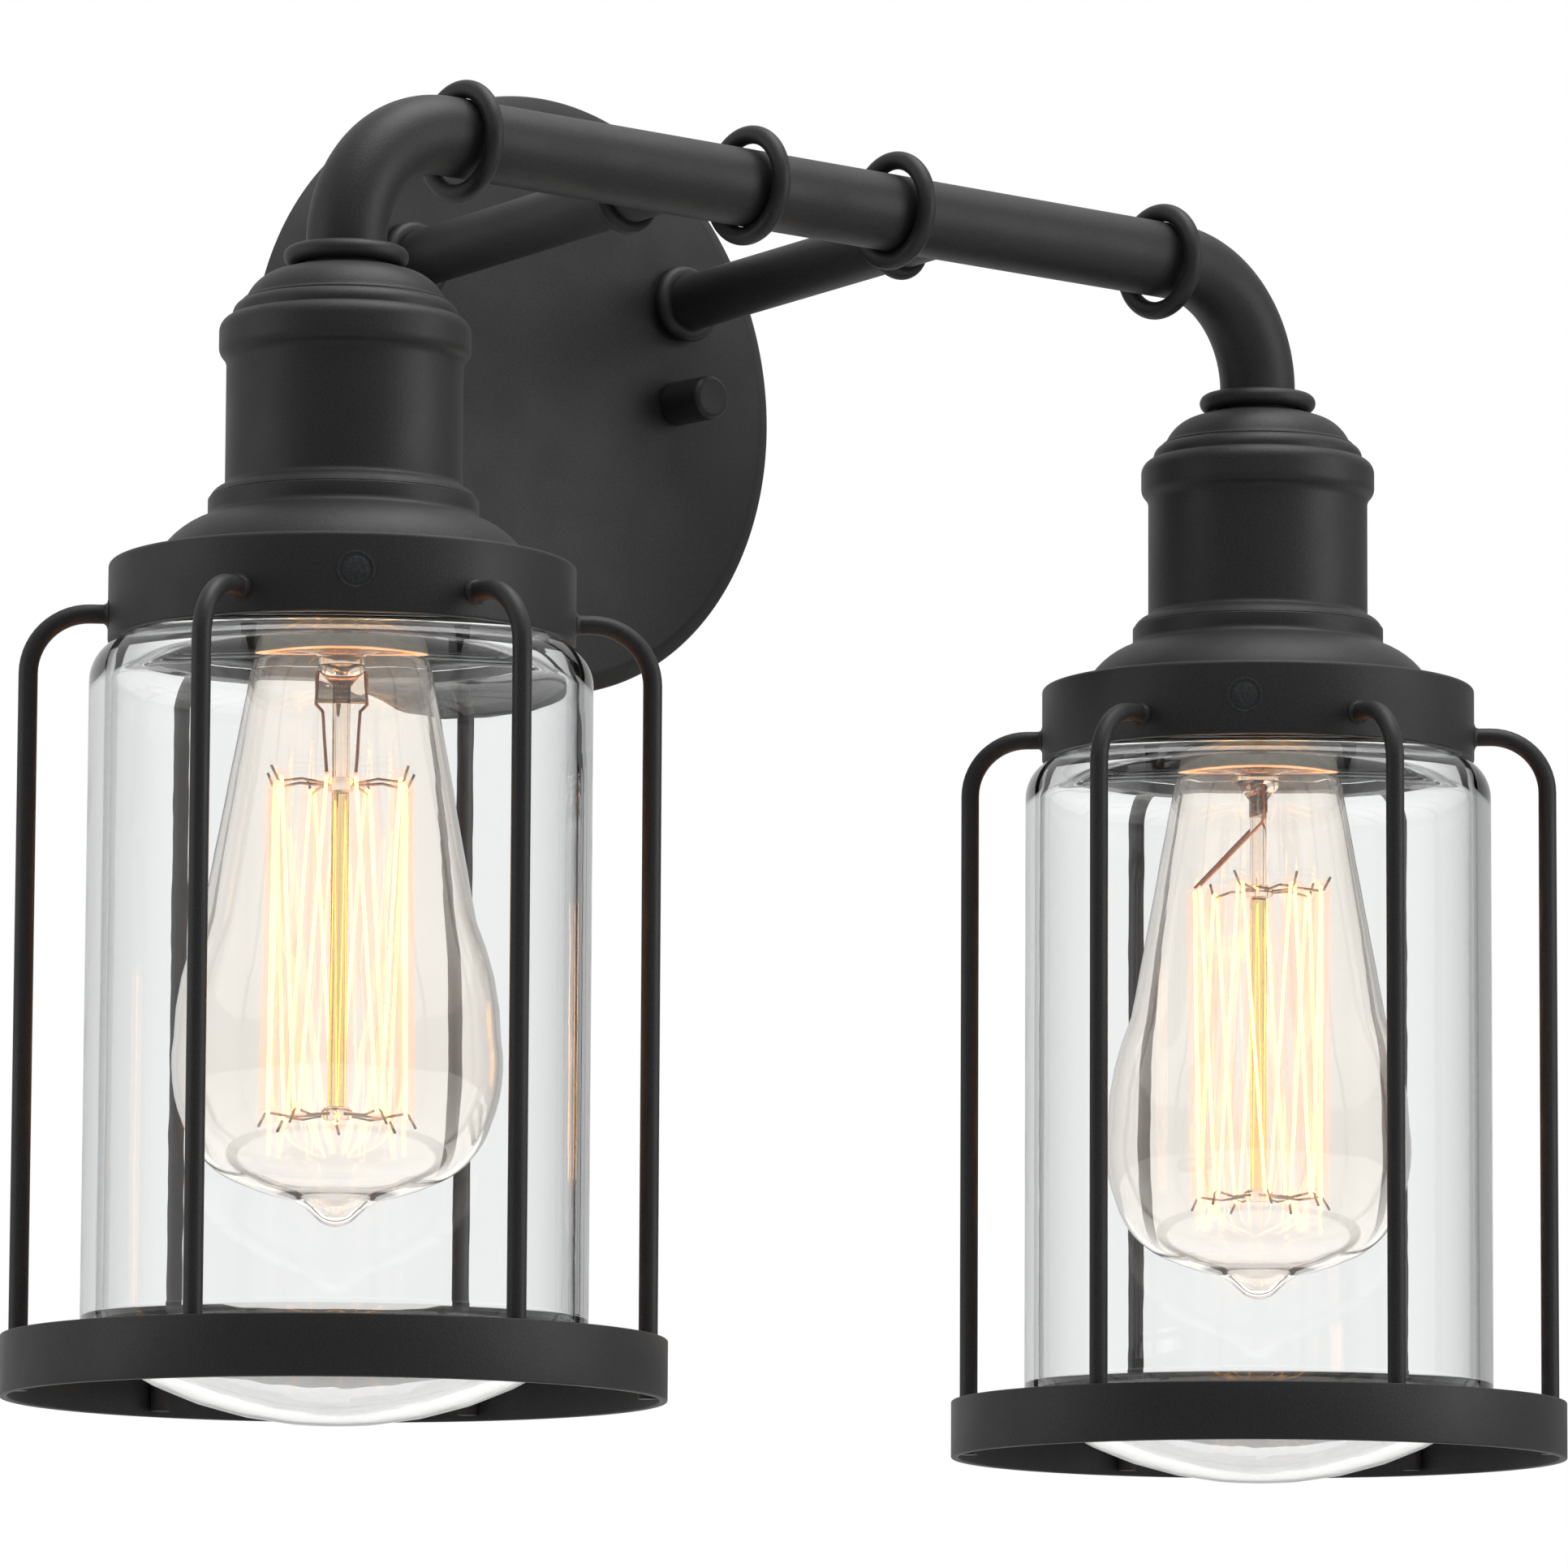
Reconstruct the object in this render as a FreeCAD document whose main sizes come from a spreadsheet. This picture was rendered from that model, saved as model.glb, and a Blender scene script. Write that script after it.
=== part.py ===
import FreeCAD, Part
import math
import os
import Sketcher

# Bathroom vanity light with two caged lanterns. X runs along the crossbar, Y points into
# the wall and Z points up. The origin is the middle of the canopy's wall face.
# Every driving dimension is a cell of the sheet, in millimetres or degrees.

WALL_SIZES = (
    ("canopy_radius", 65.0, "outer radius of the canopy at the wall"),
    ("canopy_depth", 19.0, "wall face to front face"),
    ("canopy_draft", 1.0, "how much narrower the rim is at the front"),
    ("canopy_bevel", 3.6, "width of the bevel round the front face"),
    ("canopy_bevel_depth", 1.6, "depth of that bevel"),
    ("canopy_wall", 1.5, "sheet thickness of the canopy"),
    ("plate_radius", 54.0, "radius of the wall plate"),
    ("plate_thickness", 2.0, "thickness of the wall plate"),
    ("plate_window", 19.0, "radius of the window for the house wires"),
    ("box_screw_spacing", 88.9, "outlet box screws, centre to centre"),
    ("box_slot_radius", 2.4, "half width of the outlet box slots"),
    ("box_slot_length", 6.0, "straight length of the outlet box slots"),
    ("stud_spacing", 73.0, "mounting studs, centre to centre"),
    ("stud_rise", 2.0, "studs above the canopy's middle"),
    ("stud_radius", 2.1, "radius of the stud's thread"),
    ("stud_reach", 7.0, "length of stud in front of the canopy"),
    ("stud_nut_flats", 8.0, "stud nut across its flats"),
    ("stud_nut_height", 3.0, "height of the stud nut"),
    ("cap_nut_radius", 4.7, "radius of the cap nut"),
    ("cap_nut_length", 12.2, "length of the cap nut"),
    ("cap_nut_chamfer", 0.8, "chamfer on the cap nut's face"),
    ("cap_nut_depth", 9.0, "depth of the cap nut's thread"),
    ("ground_screw_radius", 2.0, "radius of the ground screw's thread"),
    ("ground_screw_head", 4.2, "radius of the ground screw's head"),
    ("ground_screw_height", 2.2, "height of the ground screw's head"),
    ("ground_screw_drop", 33.0, "ground screw below the canopy's middle"),
)
ARM_SIZES = (
    ("arm_spacing", 75.0, "the two arms, centre to centre"),
    ("arm_rise", 23.5, "arm roots above the canopy's middle"),
    ("arm_reach", 88.0, "canopy face to the crossbar's axis"),
    ("arm_radius", 6.0, "outer radius of an arm"),
    ("arm_wall", 1.1, "wall of an arm"),
    ("collar_radius", 8.25, "outer radius of the collars on the arms"),
    ("collar_width", 3.2, "width of the collars on the arms"),
    ("collar_setback", 18.0, "crossbar's axis to the outer collar"),
    ("nipple_radius", 4.0, "radius of the threaded nipple in the arm's root"),
    ("nipple_bore", 3.0, "bore radius of that nipple"),
    ("nipple_inside", 5.0, "length of nipple behind the canopy's face"),
    ("nipple_outside", 8.0, "length of nipple in the arm"),
    ("arm_nut_flats", 13.0, "arm locknut across its flats"),
    ("arm_nut_height", 3.0, "height of the arm locknut"),
)
BAR_SIZES = (
    ("bar_rise", 29.1, "crossbar's axis above the canopy's middle"),
    ("lantern_spacing", 250.0, "the two lanterns, centre to centre"),
    ("tube_radius", 8.0, "outer radius of the crossbar and the elbows"),
    ("tube_wall", 1.25, "wall of the crossbar and the elbows"),
    ("bend_radius", 25.0, "radius of the elbows' centre line"),
    ("elbow_leg", 4.7, "straight leg under each elbow"),
    ("spigot_length", 9.0, "length of elbow inside the crossbar"),
    ("spigot_wall", 1.1, "wall of that spigot"),
    ("ring_wire", 1.9, "radius of the wire of the rings on the tubes"),
    ("ring_play", 0.6, "play between a ring and its tube"),
    ("inner_ring_place", 20.0, "inner rings from the crossbar's middle"),
    ("outer_ring_place", 96.0, "outer rings from the crossbar's middle"),
)
CUP_SIZES = (
    ("cup_height", 46.8, "fitter's top edge to the top of the cup"),
    ("cup_radius", 23.4, "outer radius of the socket cup"),
    ("cup_wall", 1.2, "sheet thickness of the socket cup"),
    ("cup_skirt", 3.0, "length of cup inside the fitter's collar"),
    ("foot_height", 2.15, "height of the flange at the cup's foot"),
    ("foot_reach", 3.0, "how far that flange stands out"),
    ("foot_round", 3.9, "arc radius on top of that flange"),
    ("foot_fillet", 1.25, "fillet between the flange and the cup's side"),
    ("foot_fillet_reach", 0.8, "reach of that fillet"),
    ("main_bead_low", 26.4, "foot of the wide bead above the cup's seat"),
    ("main_bead_height", 9.95, "height of the wide bead"),
    ("main_bead_reach", 1.5, "how far the wide bead stands out"),
    ("main_bead_round", 3.1, "edge radius of the wide bead"),
    ("main_bead_ease", 3.7, "height of the easy curve under the wide bead"),
    ("main_bead_sweep", 2.7, "arc radius of that curve"),
    ("small_bead_height", 3.45, "height of the narrow bead"),
    ("small_bead_inset", 2.6, "narrow bead's edge inside the wide bead"),
    ("small_bead_round", 2.8, "edge radius of the narrow bead"),
    ("small_bead_side", 0.65, "upright side of the narrow bead"),
    ("dome_step", 0.7, "width of the thin step round the dome's foot"),
    ("dome_step_height", 0.6, "height of that step"),
    ("dome_radius", 19.8, "radius of the dome at its foot"),
    ("dome_round", 9.2, "arc radius of the dome's side"),
    ("dome_knee", 13.5, "radius where the dome's crown starts"),
    ("dome_rise", 1.3, "rise of the dome's crown"),
    ("dome_crown", 30.0, "arc radius of the dome's crown"),
    ("dome_top", 8.6, "radius of the flat on top of the dome"),
)
FITTER_SIZES = (
    ("fitter_height", 28.7, "band's lower edge to the fitter's top edge"),
    ("band_radius", 46.0, "outer radius of the band"),
    ("band_height", 15.6, "height of the band"),
    ("band_round", 1.0, "edge radius on top of the band"),
    ("ledge_width", 8.8, "band's outer face to the foot of the flare"),
    ("ledge_wall", 1.6, "wall of the ledge on top of the band"),
    ("flare_round", 16.5, "arc radius of the flare"),
    ("collar_reach", 3.3, "cup's side to the fitter's collar"),
    ("collar_height", 2.6, "upright side of the fitter's collar"),
    ("collar_fillet", 1.6, "fillet between the collar and the flare"),
    ("collar_fillet_reach", 1.2, "reach of that fillet"),
    ("collar_fillet_drop", 1.7, "height of that fillet"),
    ("fitter_wall", 2.0, "wall of the fitter"),
    ("collar_bore_play", 0.2, "play between the cup's skirt and the fitter"),
    ("rivet_count", 3, "rivets round each band"),
    ("rivet_radius", 3.7, "radius of a rivet's flush head"),
    ("rivet_shank", 2.0, "radius of a rivet's shank"),
    ("rivet_rise", 8.0, "rivets above the band's lower edge"),
    ("rivet_turn", 31.0, "rivets from a cage wire, in degrees"),
    ("thread_ring_wall", 1.2, "wall of the threaded ring in the band"),
    ("thread_ring_height", 11.0, "height of the threaded ring"),
    ("thread_ring_rise", 1.5, "threaded ring above the band's lower edge"),
)
CAGE_SIZES = (
    ("cage_drop", 148.5, "band's lower edge to the bottom of the cage"),
    ("cage_ring_radius", 65.0, "outer radius of the cage ring"),
    ("cage_ring_height", 12.0, "height of the cage ring's strip"),
    ("cage_ring_wall", 1.6, "thickness of that strip"),
    ("cage_wire", 1.9, "radius of the cage wires"),
    ("cage_wire_count", 6, "wires in each cage"),
    ("cage_wire_rise", 5.0, "wires enter this far above the band's edge"),
    ("cage_wire_bend", 12.0, "bend radius of the cage wires"),
    ("cage_wire_foot", 1.0, "wire ends above the cage's bottom"),
    ("left_cage_turn", 4.5, "first wire of the left cage, in degrees"),
    ("right_cage_turn", 16.5, "first wire of the right cage, in degrees"),
)
JAR_SIZES = (
    ("jar_overhang", 3.5, "band's outer face to the jar's outer face"),
    ("jar_wall", 3.0, "wall of the glass jar"),
    ("jar_dip", 5.0, "jar's lowest point below the cage ring"),
    ("jar_corner_reach", 6.5, "jar's outer face to the edge of the domed bottom"),
    ("jar_dome_rise", 11.5, "rise of the domed bottom at that radius"),
    ("jar_dome_round", 86.0, "arc radius of the domed bottom"),
    ("jar_corner", 10.0, "arc radius of the lower corner"),
    ("jar_side_start", 20.0, "straight side starts this far up"),
    ("jar_shoulder", 8.5, "arc radius of the shoulder"),
    ("jar_neck_inset", 7.0, "band's outer face to the jar's neck"),
    ("jar_neck_height", 13.1, "height of the neck above the shoulder"),
    ("jar_gap", 0.5, "jar's shoulder into the band"),
    ("jar_thread_depth", 1.4, "depth of the jar's thread"),
    ("jar_thread_pitch", 5.0, "pitch of the jar's thread"),
    ("jar_thread_count", 2, "turns of the jar's thread"),
)
SOCKET_SIZES = (
    ("holder_rim_rise", 1.5, "lampholder's rim above the band's lower edge"),
    ("holder_radius", 17.5, "outer radius of the lampholder"),
    ("holder_height", 40.0, "height of the lampholder's body"),
    ("holder_boss_radius", 8.5, "radius of the boss on the lampholder"),
    ("holder_boss_height", 6.0, "height of that boss"),
    ("shell_start", 2.0, "screw shell from the lampholder's rim"),
    ("shell_height", 21.0, "height of the screw shell"),
    ("shell_wall", 0.5, "wall of the screw shell"),
    ("shell_play", 0.3, "play between a lamp cap and the screw shell"),
    ("contact_radius", 4.0, "radius of the centre contact"),
    ("contact_thickness", 1.0, "thickness of the centre contact"),
    ("lamp_nipple_radius", 4.9, "radius of the nipple above the lampholder"),
    ("lamp_nipple_bore", 3.6, "bore radius of that nipple"),
    ("cup_nut_flats", 14.0, "cup locknut across its flats"),
    ("cup_nut_height", 3.0, "height of the cup locknut"),
    ("lead_radius", 0.9, "radius of a lead wire with its insulation"),
    ("lead_gap", 2.3, "the two leads of a lantern, centre to centre"),
    ("lead_bend", 4.5, "bend radius of the leads"),
    ("lead_easy_bend", 60.0, "bend radius where the leads hardly turn"),
    ("lead_plane", 9.2, "leads in the canopy lie this far from the wall"),
    ("connector_radius", 5.6, "radius of a wire connector's mouth"),
    ("connector_tip", 3.4, "radius of a wire connector's tip"),
    ("connector_length", 19.0, "length of a wire connector"),
    ("lead_plane_gap", 2.4, "live leads from the neutral ones in the canopy"),
    ("connector_place", 17.0, "connectors from the canopy's middle, sideways"),
    ("connector_drop", 3.0, "mouths of the connectors below the middle"),
    ("ground_plane", 3.4, "ground wire lies this far from the wall"),
    ("ground_turn_rise", 14.0, "ground wire's turn above the middle"),
    ("ground_turn_side", 27.0, "ground wire's turn beside the middle"),
    ("ground_end_rise", 17.0, "ground wire's end above the middle"),
)
BULB_SIZES = (
    ("bulb_radius", 32.0, "largest radius of the bulb"),
    ("bulb_length", 117.0, "tip to the lamp cap's skirt"),
    ("bulb_glass", 0.9, "wall of the bulb's glass"),
    ("bulb_tip_radius", 7.5, "radius where the sealed tip starts"),
    ("bulb_tip_height", 4.8, "height of the sealed tip"),
    ("bulb_chin_radius", 19.0, "radius of the lower curve's first joint"),
    ("bulb_chin_height", 8.4, "height of that joint above the tip"),
    ("bulb_cheek_radius", 30.1, "radius of the lower curve's second joint"),
    ("bulb_cheek_height", 20.0, "height of that joint above the tip"),
    ("bulb_widest", 36.5, "height of the widest place above the tip"),
    ("bulb_waist_radius", 26.9, "radius half way up the taper"),
    ("bulb_waist_height", 60.0, "height of that place above the tip"),
    ("bulb_neck_radius", 18.0, "radius of the neck"),
    ("bulb_neck_setback", 8.5, "bulb's open end to its neck"),
    ("bulb_chin_round", 18.0, "arc radius between chin and cheek"),
    ("bulb_bottom_round", 40.0, "arc radius under the chin"),
    ("bulb_cheek_round", 30.0, "arc radius between cheek and widest place"),
    ("bulb_side_round", 60.0, "arc radius above the widest place"),
    ("bulb_neck_round", 14.0, "arc radius between neck and throat"),
    ("bulb_tip_round", 9.0, "arc radius of the sealed tip"),
    ("bulb_throat", 12.6, "radius of the glass at the lamp cap"),
    ("cap_crest", 13.1, "radius of the lamp cap's thread crests"),
    ("cap_root", 12.2, "radius of the lamp cap's thread roots"),
    ("cap_pitch", 3.63, "pitch of the lamp cap's thread"),
    ("cap_turns", 4, "turns of the lamp cap's thread"),
    ("cap_skirt", 2.4, "plain skirt of the lamp cap"),
    ("cap_wall", 0.5, "wall of the lamp cap"),
    ("cap_cone", 4.6, "height of the lamp cap's insulator"),
    ("cap_eyelet", 4.8, "radius of the lamp's end contact"),
    ("eyelet_height", 1.4, "height of the lamp's end contact"),
    ("left_press_turn", 38.0, "turn of the left bulb's press, in degrees"),
    ("right_press_turn", 120.0, "turn of the right bulb's press, in degrees"),
    ("stem_flare", 11.6, "radius of the glass stem at the lamp cap"),
    ("stem_press_width", 11.0, "width of the flattened press"),
    ("stem_press_depth", 4.0, "depth of the flattened press"),
    ("stem_press_height", 14.0, "height of the press"),
    ("press_setback", 16.0, "bulb's open end to the far end of the press"),
    ("rod_radius", 1.75, "radius of the glass rod"),
    ("hub_radius", 3.1, "radius of the two hubs on the rod"),
    ("hub_height", 2.5, "height of a hub"),
    ("upper_hub_drop", 14.5, "far end of the press to the upper hub"),
    ("lower_hub", 22.0, "lower hub above the tip"),
    ("hook_radius", 14.3, "reach of the support hooks"),
    ("hook_wire", 0.28, "radius of the support wires"),
    ("hook_end", 2.6, "length of a hook's bent end"),
    ("filament_radius", 13.5, "radius of the filament's cage"),
    ("filament_wire", 0.22, "radius of the filament"),
    ("filament_strands", 14, "strands of the filament"),
    ("filament_round", 0.5, "radius of the filament's turns"),
    ("lead_in_wire", 0.35, "radius of the lead-in wires"),
    ("lead_in_place", 3.0, "lead-in wires from the middle of the press"),
    ("lead_in_drop", 5.0, "straight length of the lead-in wires"),
    ("lead_in_bend", 2.5, "bend radius of the lead-in wires"),
    ("hook_bend", 0.8, "bend radius of the hooks"),
)
FIT_SIZES = (
    ("thread_play", 0.05, "play of a threaded or pressed fit"),
    ("hole_play", 0.2, "play of a plain hole"),
    ("turn_play", 0.35, "play between glass threads"),
    ("seat_gap", 0.1, "gap at a seat between pieces that turn"),
    ("overrun", 30.0, "how far a cutting shape runs past what it cuts"),
)
ALL_SIZES = (
    ("Wall", WALL_SIZES),
    ("Arms", ARM_SIZES),
    ("Crossbar", BAR_SIZES),
    ("Socket cup", CUP_SIZES),
    ("Fitter", FITTER_SIZES),
    ("Cage", CAGE_SIZES),
    ("Jar", JAR_SIZES),
    ("Lampholder and leads", SOCKET_SIZES),
    ("Bulb", BULB_SIZES),
    ("Fits", FIT_SIZES),
)


class Size:
    """A length or angle that keeps its number and the sheet formula behind it."""

    def __init__(self, number, formula):
        self.number = float(number)
        self.formula = formula

    def __add__(self, other):
        return join(self, "+", other, self.number + number_of(other))

    def __sub__(self, other):
        return join(self, "-", other, self.number - number_of(other))

    def __mul__(self, other):
        return join(self, "*", other, self.number * number_of(other))

    def __truediv__(self, other):
        return join(self, "/", other, self.number / number_of(other))

    def __neg__(self):
        return Size(-self.number, "(0 - %s)" % self.formula)


def number_of(value):
    return value.number if isinstance(value, Size) else float(value)


def formula_of(value):
    return value.formula if isinstance(value, Size) else repr(float(value))


def join(left, sign, right, number):
    return Size(number, "(%s %s %s)" % (left.formula, sign, formula_of(right)))


class Sizes:
    """The sheet's named values, each read as a Size."""


doc = FreeCAD.newDocument("VanityLight")
sheet = doc.addObject("Spreadsheet::Sheet", "Sizes")
s = Sizes()
ZERO = Size(0, "0")
FULL_TURN = 360
RIGHT_ANGLE = 90
ALONG_X = FreeCAD.Vector(1, 0, 0)
ALONG_Y = FreeCAD.Vector(0, 1, 0)
ALONG_Z = FreeCAD.Vector(0, 0, 1)
OUTWARD = (ALONG_X, RIGHT_ANGLE)
SIDES = (("left", -1), ("right", 1))
sub_parts = []


def fill_sheet():
    row = 0
    for heading, rows in ALL_SIZES:
        row += 1
        sheet.set("A%d" % row, heading)
        for alias, value, note in rows:
            row += 1
            cell = "B%d" % row
            sheet.set("A%d" % row, alias.replace("_", " "))
            sheet.set(cell, str(value))
            sheet.setAlias(cell, alias)
            sheet.set("C%d" % row, note)
    doc.recompute()
    for heading, rows in ALL_SIZES:
        for alias, value, note in rows:
            setattr(s, alias, Size(sheet.get(alias), "Sizes.%s" % alias))


# Helpers for places, sketches and features

def place(obj, x=ZERO, y=ZERO, z=ZERO, turn=None):
    """Set an object's place from sizes, with a turn given as axis and angle."""
    axis, angle = turn or (ALONG_Z, 0)
    base = FreeCAD.Vector(x.number, y.number, z.number)
    obj.Placement = FreeCAD.Placement(base, FreeCAD.Rotation(axis, number_of(angle)))
    for letter, value in (("x", x), ("y", y), ("z", z)):
        obj.setExpression("Placement.Base.%s" % letter, value.formula)
    if isinstance(angle, Size):
        obj.setExpression("Placement.Rotation.Angle", angle.formula)


def keep(obj, label):
    obj.Label = label
    sub_parts.append(obj)
    return obj


def new_body(label):
    body = doc.addObject("PartDesign::Body", "Body_" + label)
    body.AllowCompound = True
    return keep(body, label)


def origin_feature(body, role):
    return next(item for item in body.Origin.OriginFeatures if item.Role == role)


def new_sketch(body, plane, name, lift=None):
    sketch = body.newObject("Sketcher::SketchObject", "%s_%s" % (body.Name, name))
    sketch.AttachmentSupport = [(origin_feature(body, plane), "")]
    sketch.MapMode = "FlatFace"
    if lift is not None:
        sketch.AttachmentOffset = FreeCAD.Placement(
            FreeCAD.Vector(0, 0, lift.number), FreeCAD.Rotation())
        sketch.setExpression("AttachmentOffset.Base.z", lift.formula)
    return sketch


def bind_constraint(sketch, constraint, size):
    index = sketch.addConstraint(constraint)
    sketch.setExpression("Constraints[%d]" % index, size.formula)


def pin_point(sketch, geometry, end, x, y):
    """Hold one end of a curve at a place given by two sizes."""
    if x is ZERO:
        sketch.addConstraint(Sketcher.Constraint("PointOnObject", geometry, end, -2))
    else:
        bind_constraint(sketch, Sketcher.Constraint(
            "DistanceX", -1, 1, geometry, end, x.number), x)
    if y is ZERO:
        sketch.addConstraint(Sketcher.Constraint("PointOnObject", geometry, end, -1))
    else:
        bind_constraint(sketch, Sketcher.Constraint(
            "DistanceY", -1, 1, geometry, end, y.number), y)


def arc_between(start, end, radius, turn):
    """The short arc from start to end; a turn of 1 goes against the clock."""
    chord = end - start
    half = chord.Length / 2
    height = math.sqrt(max(radius * radius - half * half, 0))
    side = FreeCAD.Vector(-chord.y, chord.x, 0).normalize() * height * turn
    centre = (start + end) / 2 + side
    first, last = (start, end) if turn > 0 else (end, start)
    angles = [math.atan2(p.y - centre.y, p.x - centre.x) for p in (first, last)]
    circle = Part.Circle(centre, ALONG_Z, radius)
    return Part.ArcOfCircle(circle, angles[0], angles[1])


def draw_outline(sketch, corners):
    """Draw a closed outline. A corner is (x, y) after a straight edge, or
    (x, y, radius, turn) after an arc."""
    points = [FreeCAD.Vector(c[0].number, c[1].number, 0) for c in corners]
    ends = []
    for index, corner in enumerate(corners):
        start, end = points[index - 1], points[index]
        if len(corner) == 2:
            geometry = sketch.addGeometry(Part.LineSegment(start, end), False)
            ends.append((geometry, 1, 2))
            continue
        radius, turn = corner[2:]
        arc = arc_between(start, end, radius.number, turn)
        geometry = sketch.addGeometry(arc, False)
        ends.append((geometry, 1, 2) if turn > 0 else (geometry, 2, 1))
        bind_constraint(sketch, Sketcher.Constraint(
            "Radius", geometry, radius.number), radius)
    for index, corner in enumerate(corners):
        geometry, start, end = ends[index]
        following, next_start = ends[(index + 1) % len(ends)][:2]
        pin_point(sketch, geometry, end, corner[0], corner[1])
        sketch.addConstraint(Sketcher.Constraint(
            "Coincident", geometry, end, following, next_start))


def draw_circle(sketch, x, y, radius):
    centre = FreeCAD.Vector(x.number, y.number, 0)
    circle = Part.Circle(centre, ALONG_Z, radius.number)
    geometry = sketch.addGeometry(circle, False)
    bind_constraint(sketch, Sketcher.Constraint(
        "Radius", geometry, radius.number), radius)
    pin_point(sketch, geometry, 3, x, y)


def revolve(body, corners, name="outline"):
    """Turn an outline drawn as radius and height about the body's Z axis."""
    sketch = new_sketch(body, "XZ_Plane", name)
    draw_outline(sketch, corners)
    feature = body.newObject("PartDesign::Revolution", "%s_%s_turned" % (body.Name, name))
    feature.Profile = sketch
    feature.ReferenceAxis = (sketch, ["V_Axis"])
    feature.Angle = FULL_TURN
    return feature


def turned(label, corners):
    body = new_body(label)
    revolve(body, corners)
    return body


def tube_outline(outer, inner, low, high):
    return [(outer, low), (outer, high), (inner, high), (inner, low)]


def rod_outline(radius, low, high):
    return [(radius, low), (radius, high), (ZERO, high), (ZERO, low)]


def pad(body, sketch, length):
    feature = body.newObject("PartDesign::Pad", sketch.Name + "_pad")
    feature.Profile = sketch
    feature.setExpression("Length", length.formula)
    return feature


def pocket_both_ways(body, sketch, length):
    """Cut straight through, the same length on both sides of the sketch."""
    feature = body.newObject("PartDesign::Pocket", sketch.Name + "_cut")
    feature.Profile = sketch
    feature.Midplane = True
    feature.setExpression("Length", (length * 2).formula)
    return feature


def pocket_forward(body, sketch, length, backward=False):
    """Cut on the sketch's front side only, or on its back side."""
    feature = body.newObject("PartDesign::Pocket", sketch.Name + "_cut")
    feature.Profile = sketch
    feature.Reversed = backward
    feature.setExpression("Length", length.formula)
    return feature


def pattern_round(body, features, count, tip=True):
    pattern = body.newObject("PartDesign::PolarPattern", features[0].Name + "_round")
    pattern.Originals = features
    pattern.Axis = (origin_feature(body, "Z_Axis"), [""])
    pattern.Angle = FULL_TURN
    pattern.Occurrences = int(count.number)
    pattern.setExpression("Occurrences", count.formula)
    body.Tip = pattern
    return pattern


def hexagon(flats):
    """The corners of a hexagon, two of them on the X axis."""
    corner = flats / math.sqrt(3)
    half = corner / 2
    side = flats / 2
    return [(corner, ZERO), (half, side), (-half, side),
            (-corner, ZERO), (-half, -side), (half, -side)]


def hex_nut(label, flats, height, bore):
    body = new_body(label)
    outer = new_sketch(body, "XY_Plane", "flats")
    draw_outline(outer, hexagon(flats))
    draw_circle(outer, ZERO, ZERO, bore)
    pad(body, outer, height)
    return body


def ridges(start, root, crest, pitch, count):
    """Corners of thread ridges going up from start, each with sloping flanks."""
    corners = []
    for turn in range(int(count.number)):
        low = start + pitch * turn
        for radius, share in ((root, 0.22), (crest, 0.4), (crest, 0.6), (root, 0.78)):
            corners.append((radius, low + pitch * share))
    return corners


def group(label, members):
    """Separate identical solids that share one node."""
    for member in members:
        if member in sub_parts:
            sub_parts.remove(member)
    compound = doc.addObject("Part::Compound", "Group_" + label)
    compound.Links = members
    return keep(compound, label)


def rounded_path(points, bends):
    """A wire of straight runs through the points, joined by tangent arcs."""
    edges = []
    start = points[0]
    for before, corner, after, radius in zip(points, points[1:], points[2:], bends):
        back = (before - corner).normalize()
        ahead = (after - corner).normalize()
        half = back.getAngle(ahead) / 2
        cut = radius / math.tan(half)
        middle = (back + ahead).normalize()
        arc_start = corner + back * cut
        arc_end = corner + ahead * cut
        arc_middle = corner + middle * (radius / math.sin(half) - radius)
        edges.append(Part.LineSegment(start, arc_start).toShape())
        edges.append(Part.Arc(arc_start, arc_middle, arc_end).toShape())
        start = arc_end
    edges.append(Part.LineSegment(start, points[-1]).toShape())
    return Part.Wire(edges)


def tube_along(points, bends, radius):
    """A round wire along a path, checked against its section times its length."""
    path = rounded_path(points, bends)
    direction = points[1] - points[0]
    section = Part.Wire(Part.Circle(points[0], direction, radius).toShape())
    solid = path.makePipeShell([section], True, False)
    expected = math.pi * radius * radius * path.Length
    if abs(solid.Volume / expected - 1) > 0.02:
        raise RuntimeError("a wire's volume is not its section times its length")
    return solid


def shaped(label, shape):
    """A sub-part whose shape Part's own functions make from the sheet's sizes."""
    feature = doc.addObject("Part::Feature", "Shape_" + label)
    feature.Shape = shape
    return keep(feature, label)


def vector(x, y, z):
    return FreeCAD.Vector(number_of(x), number_of(y), number_of(z))


# Places that several pieces share

class Places:
    """Heights and distances worked out from the driving sizes."""


at = Places()


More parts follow.
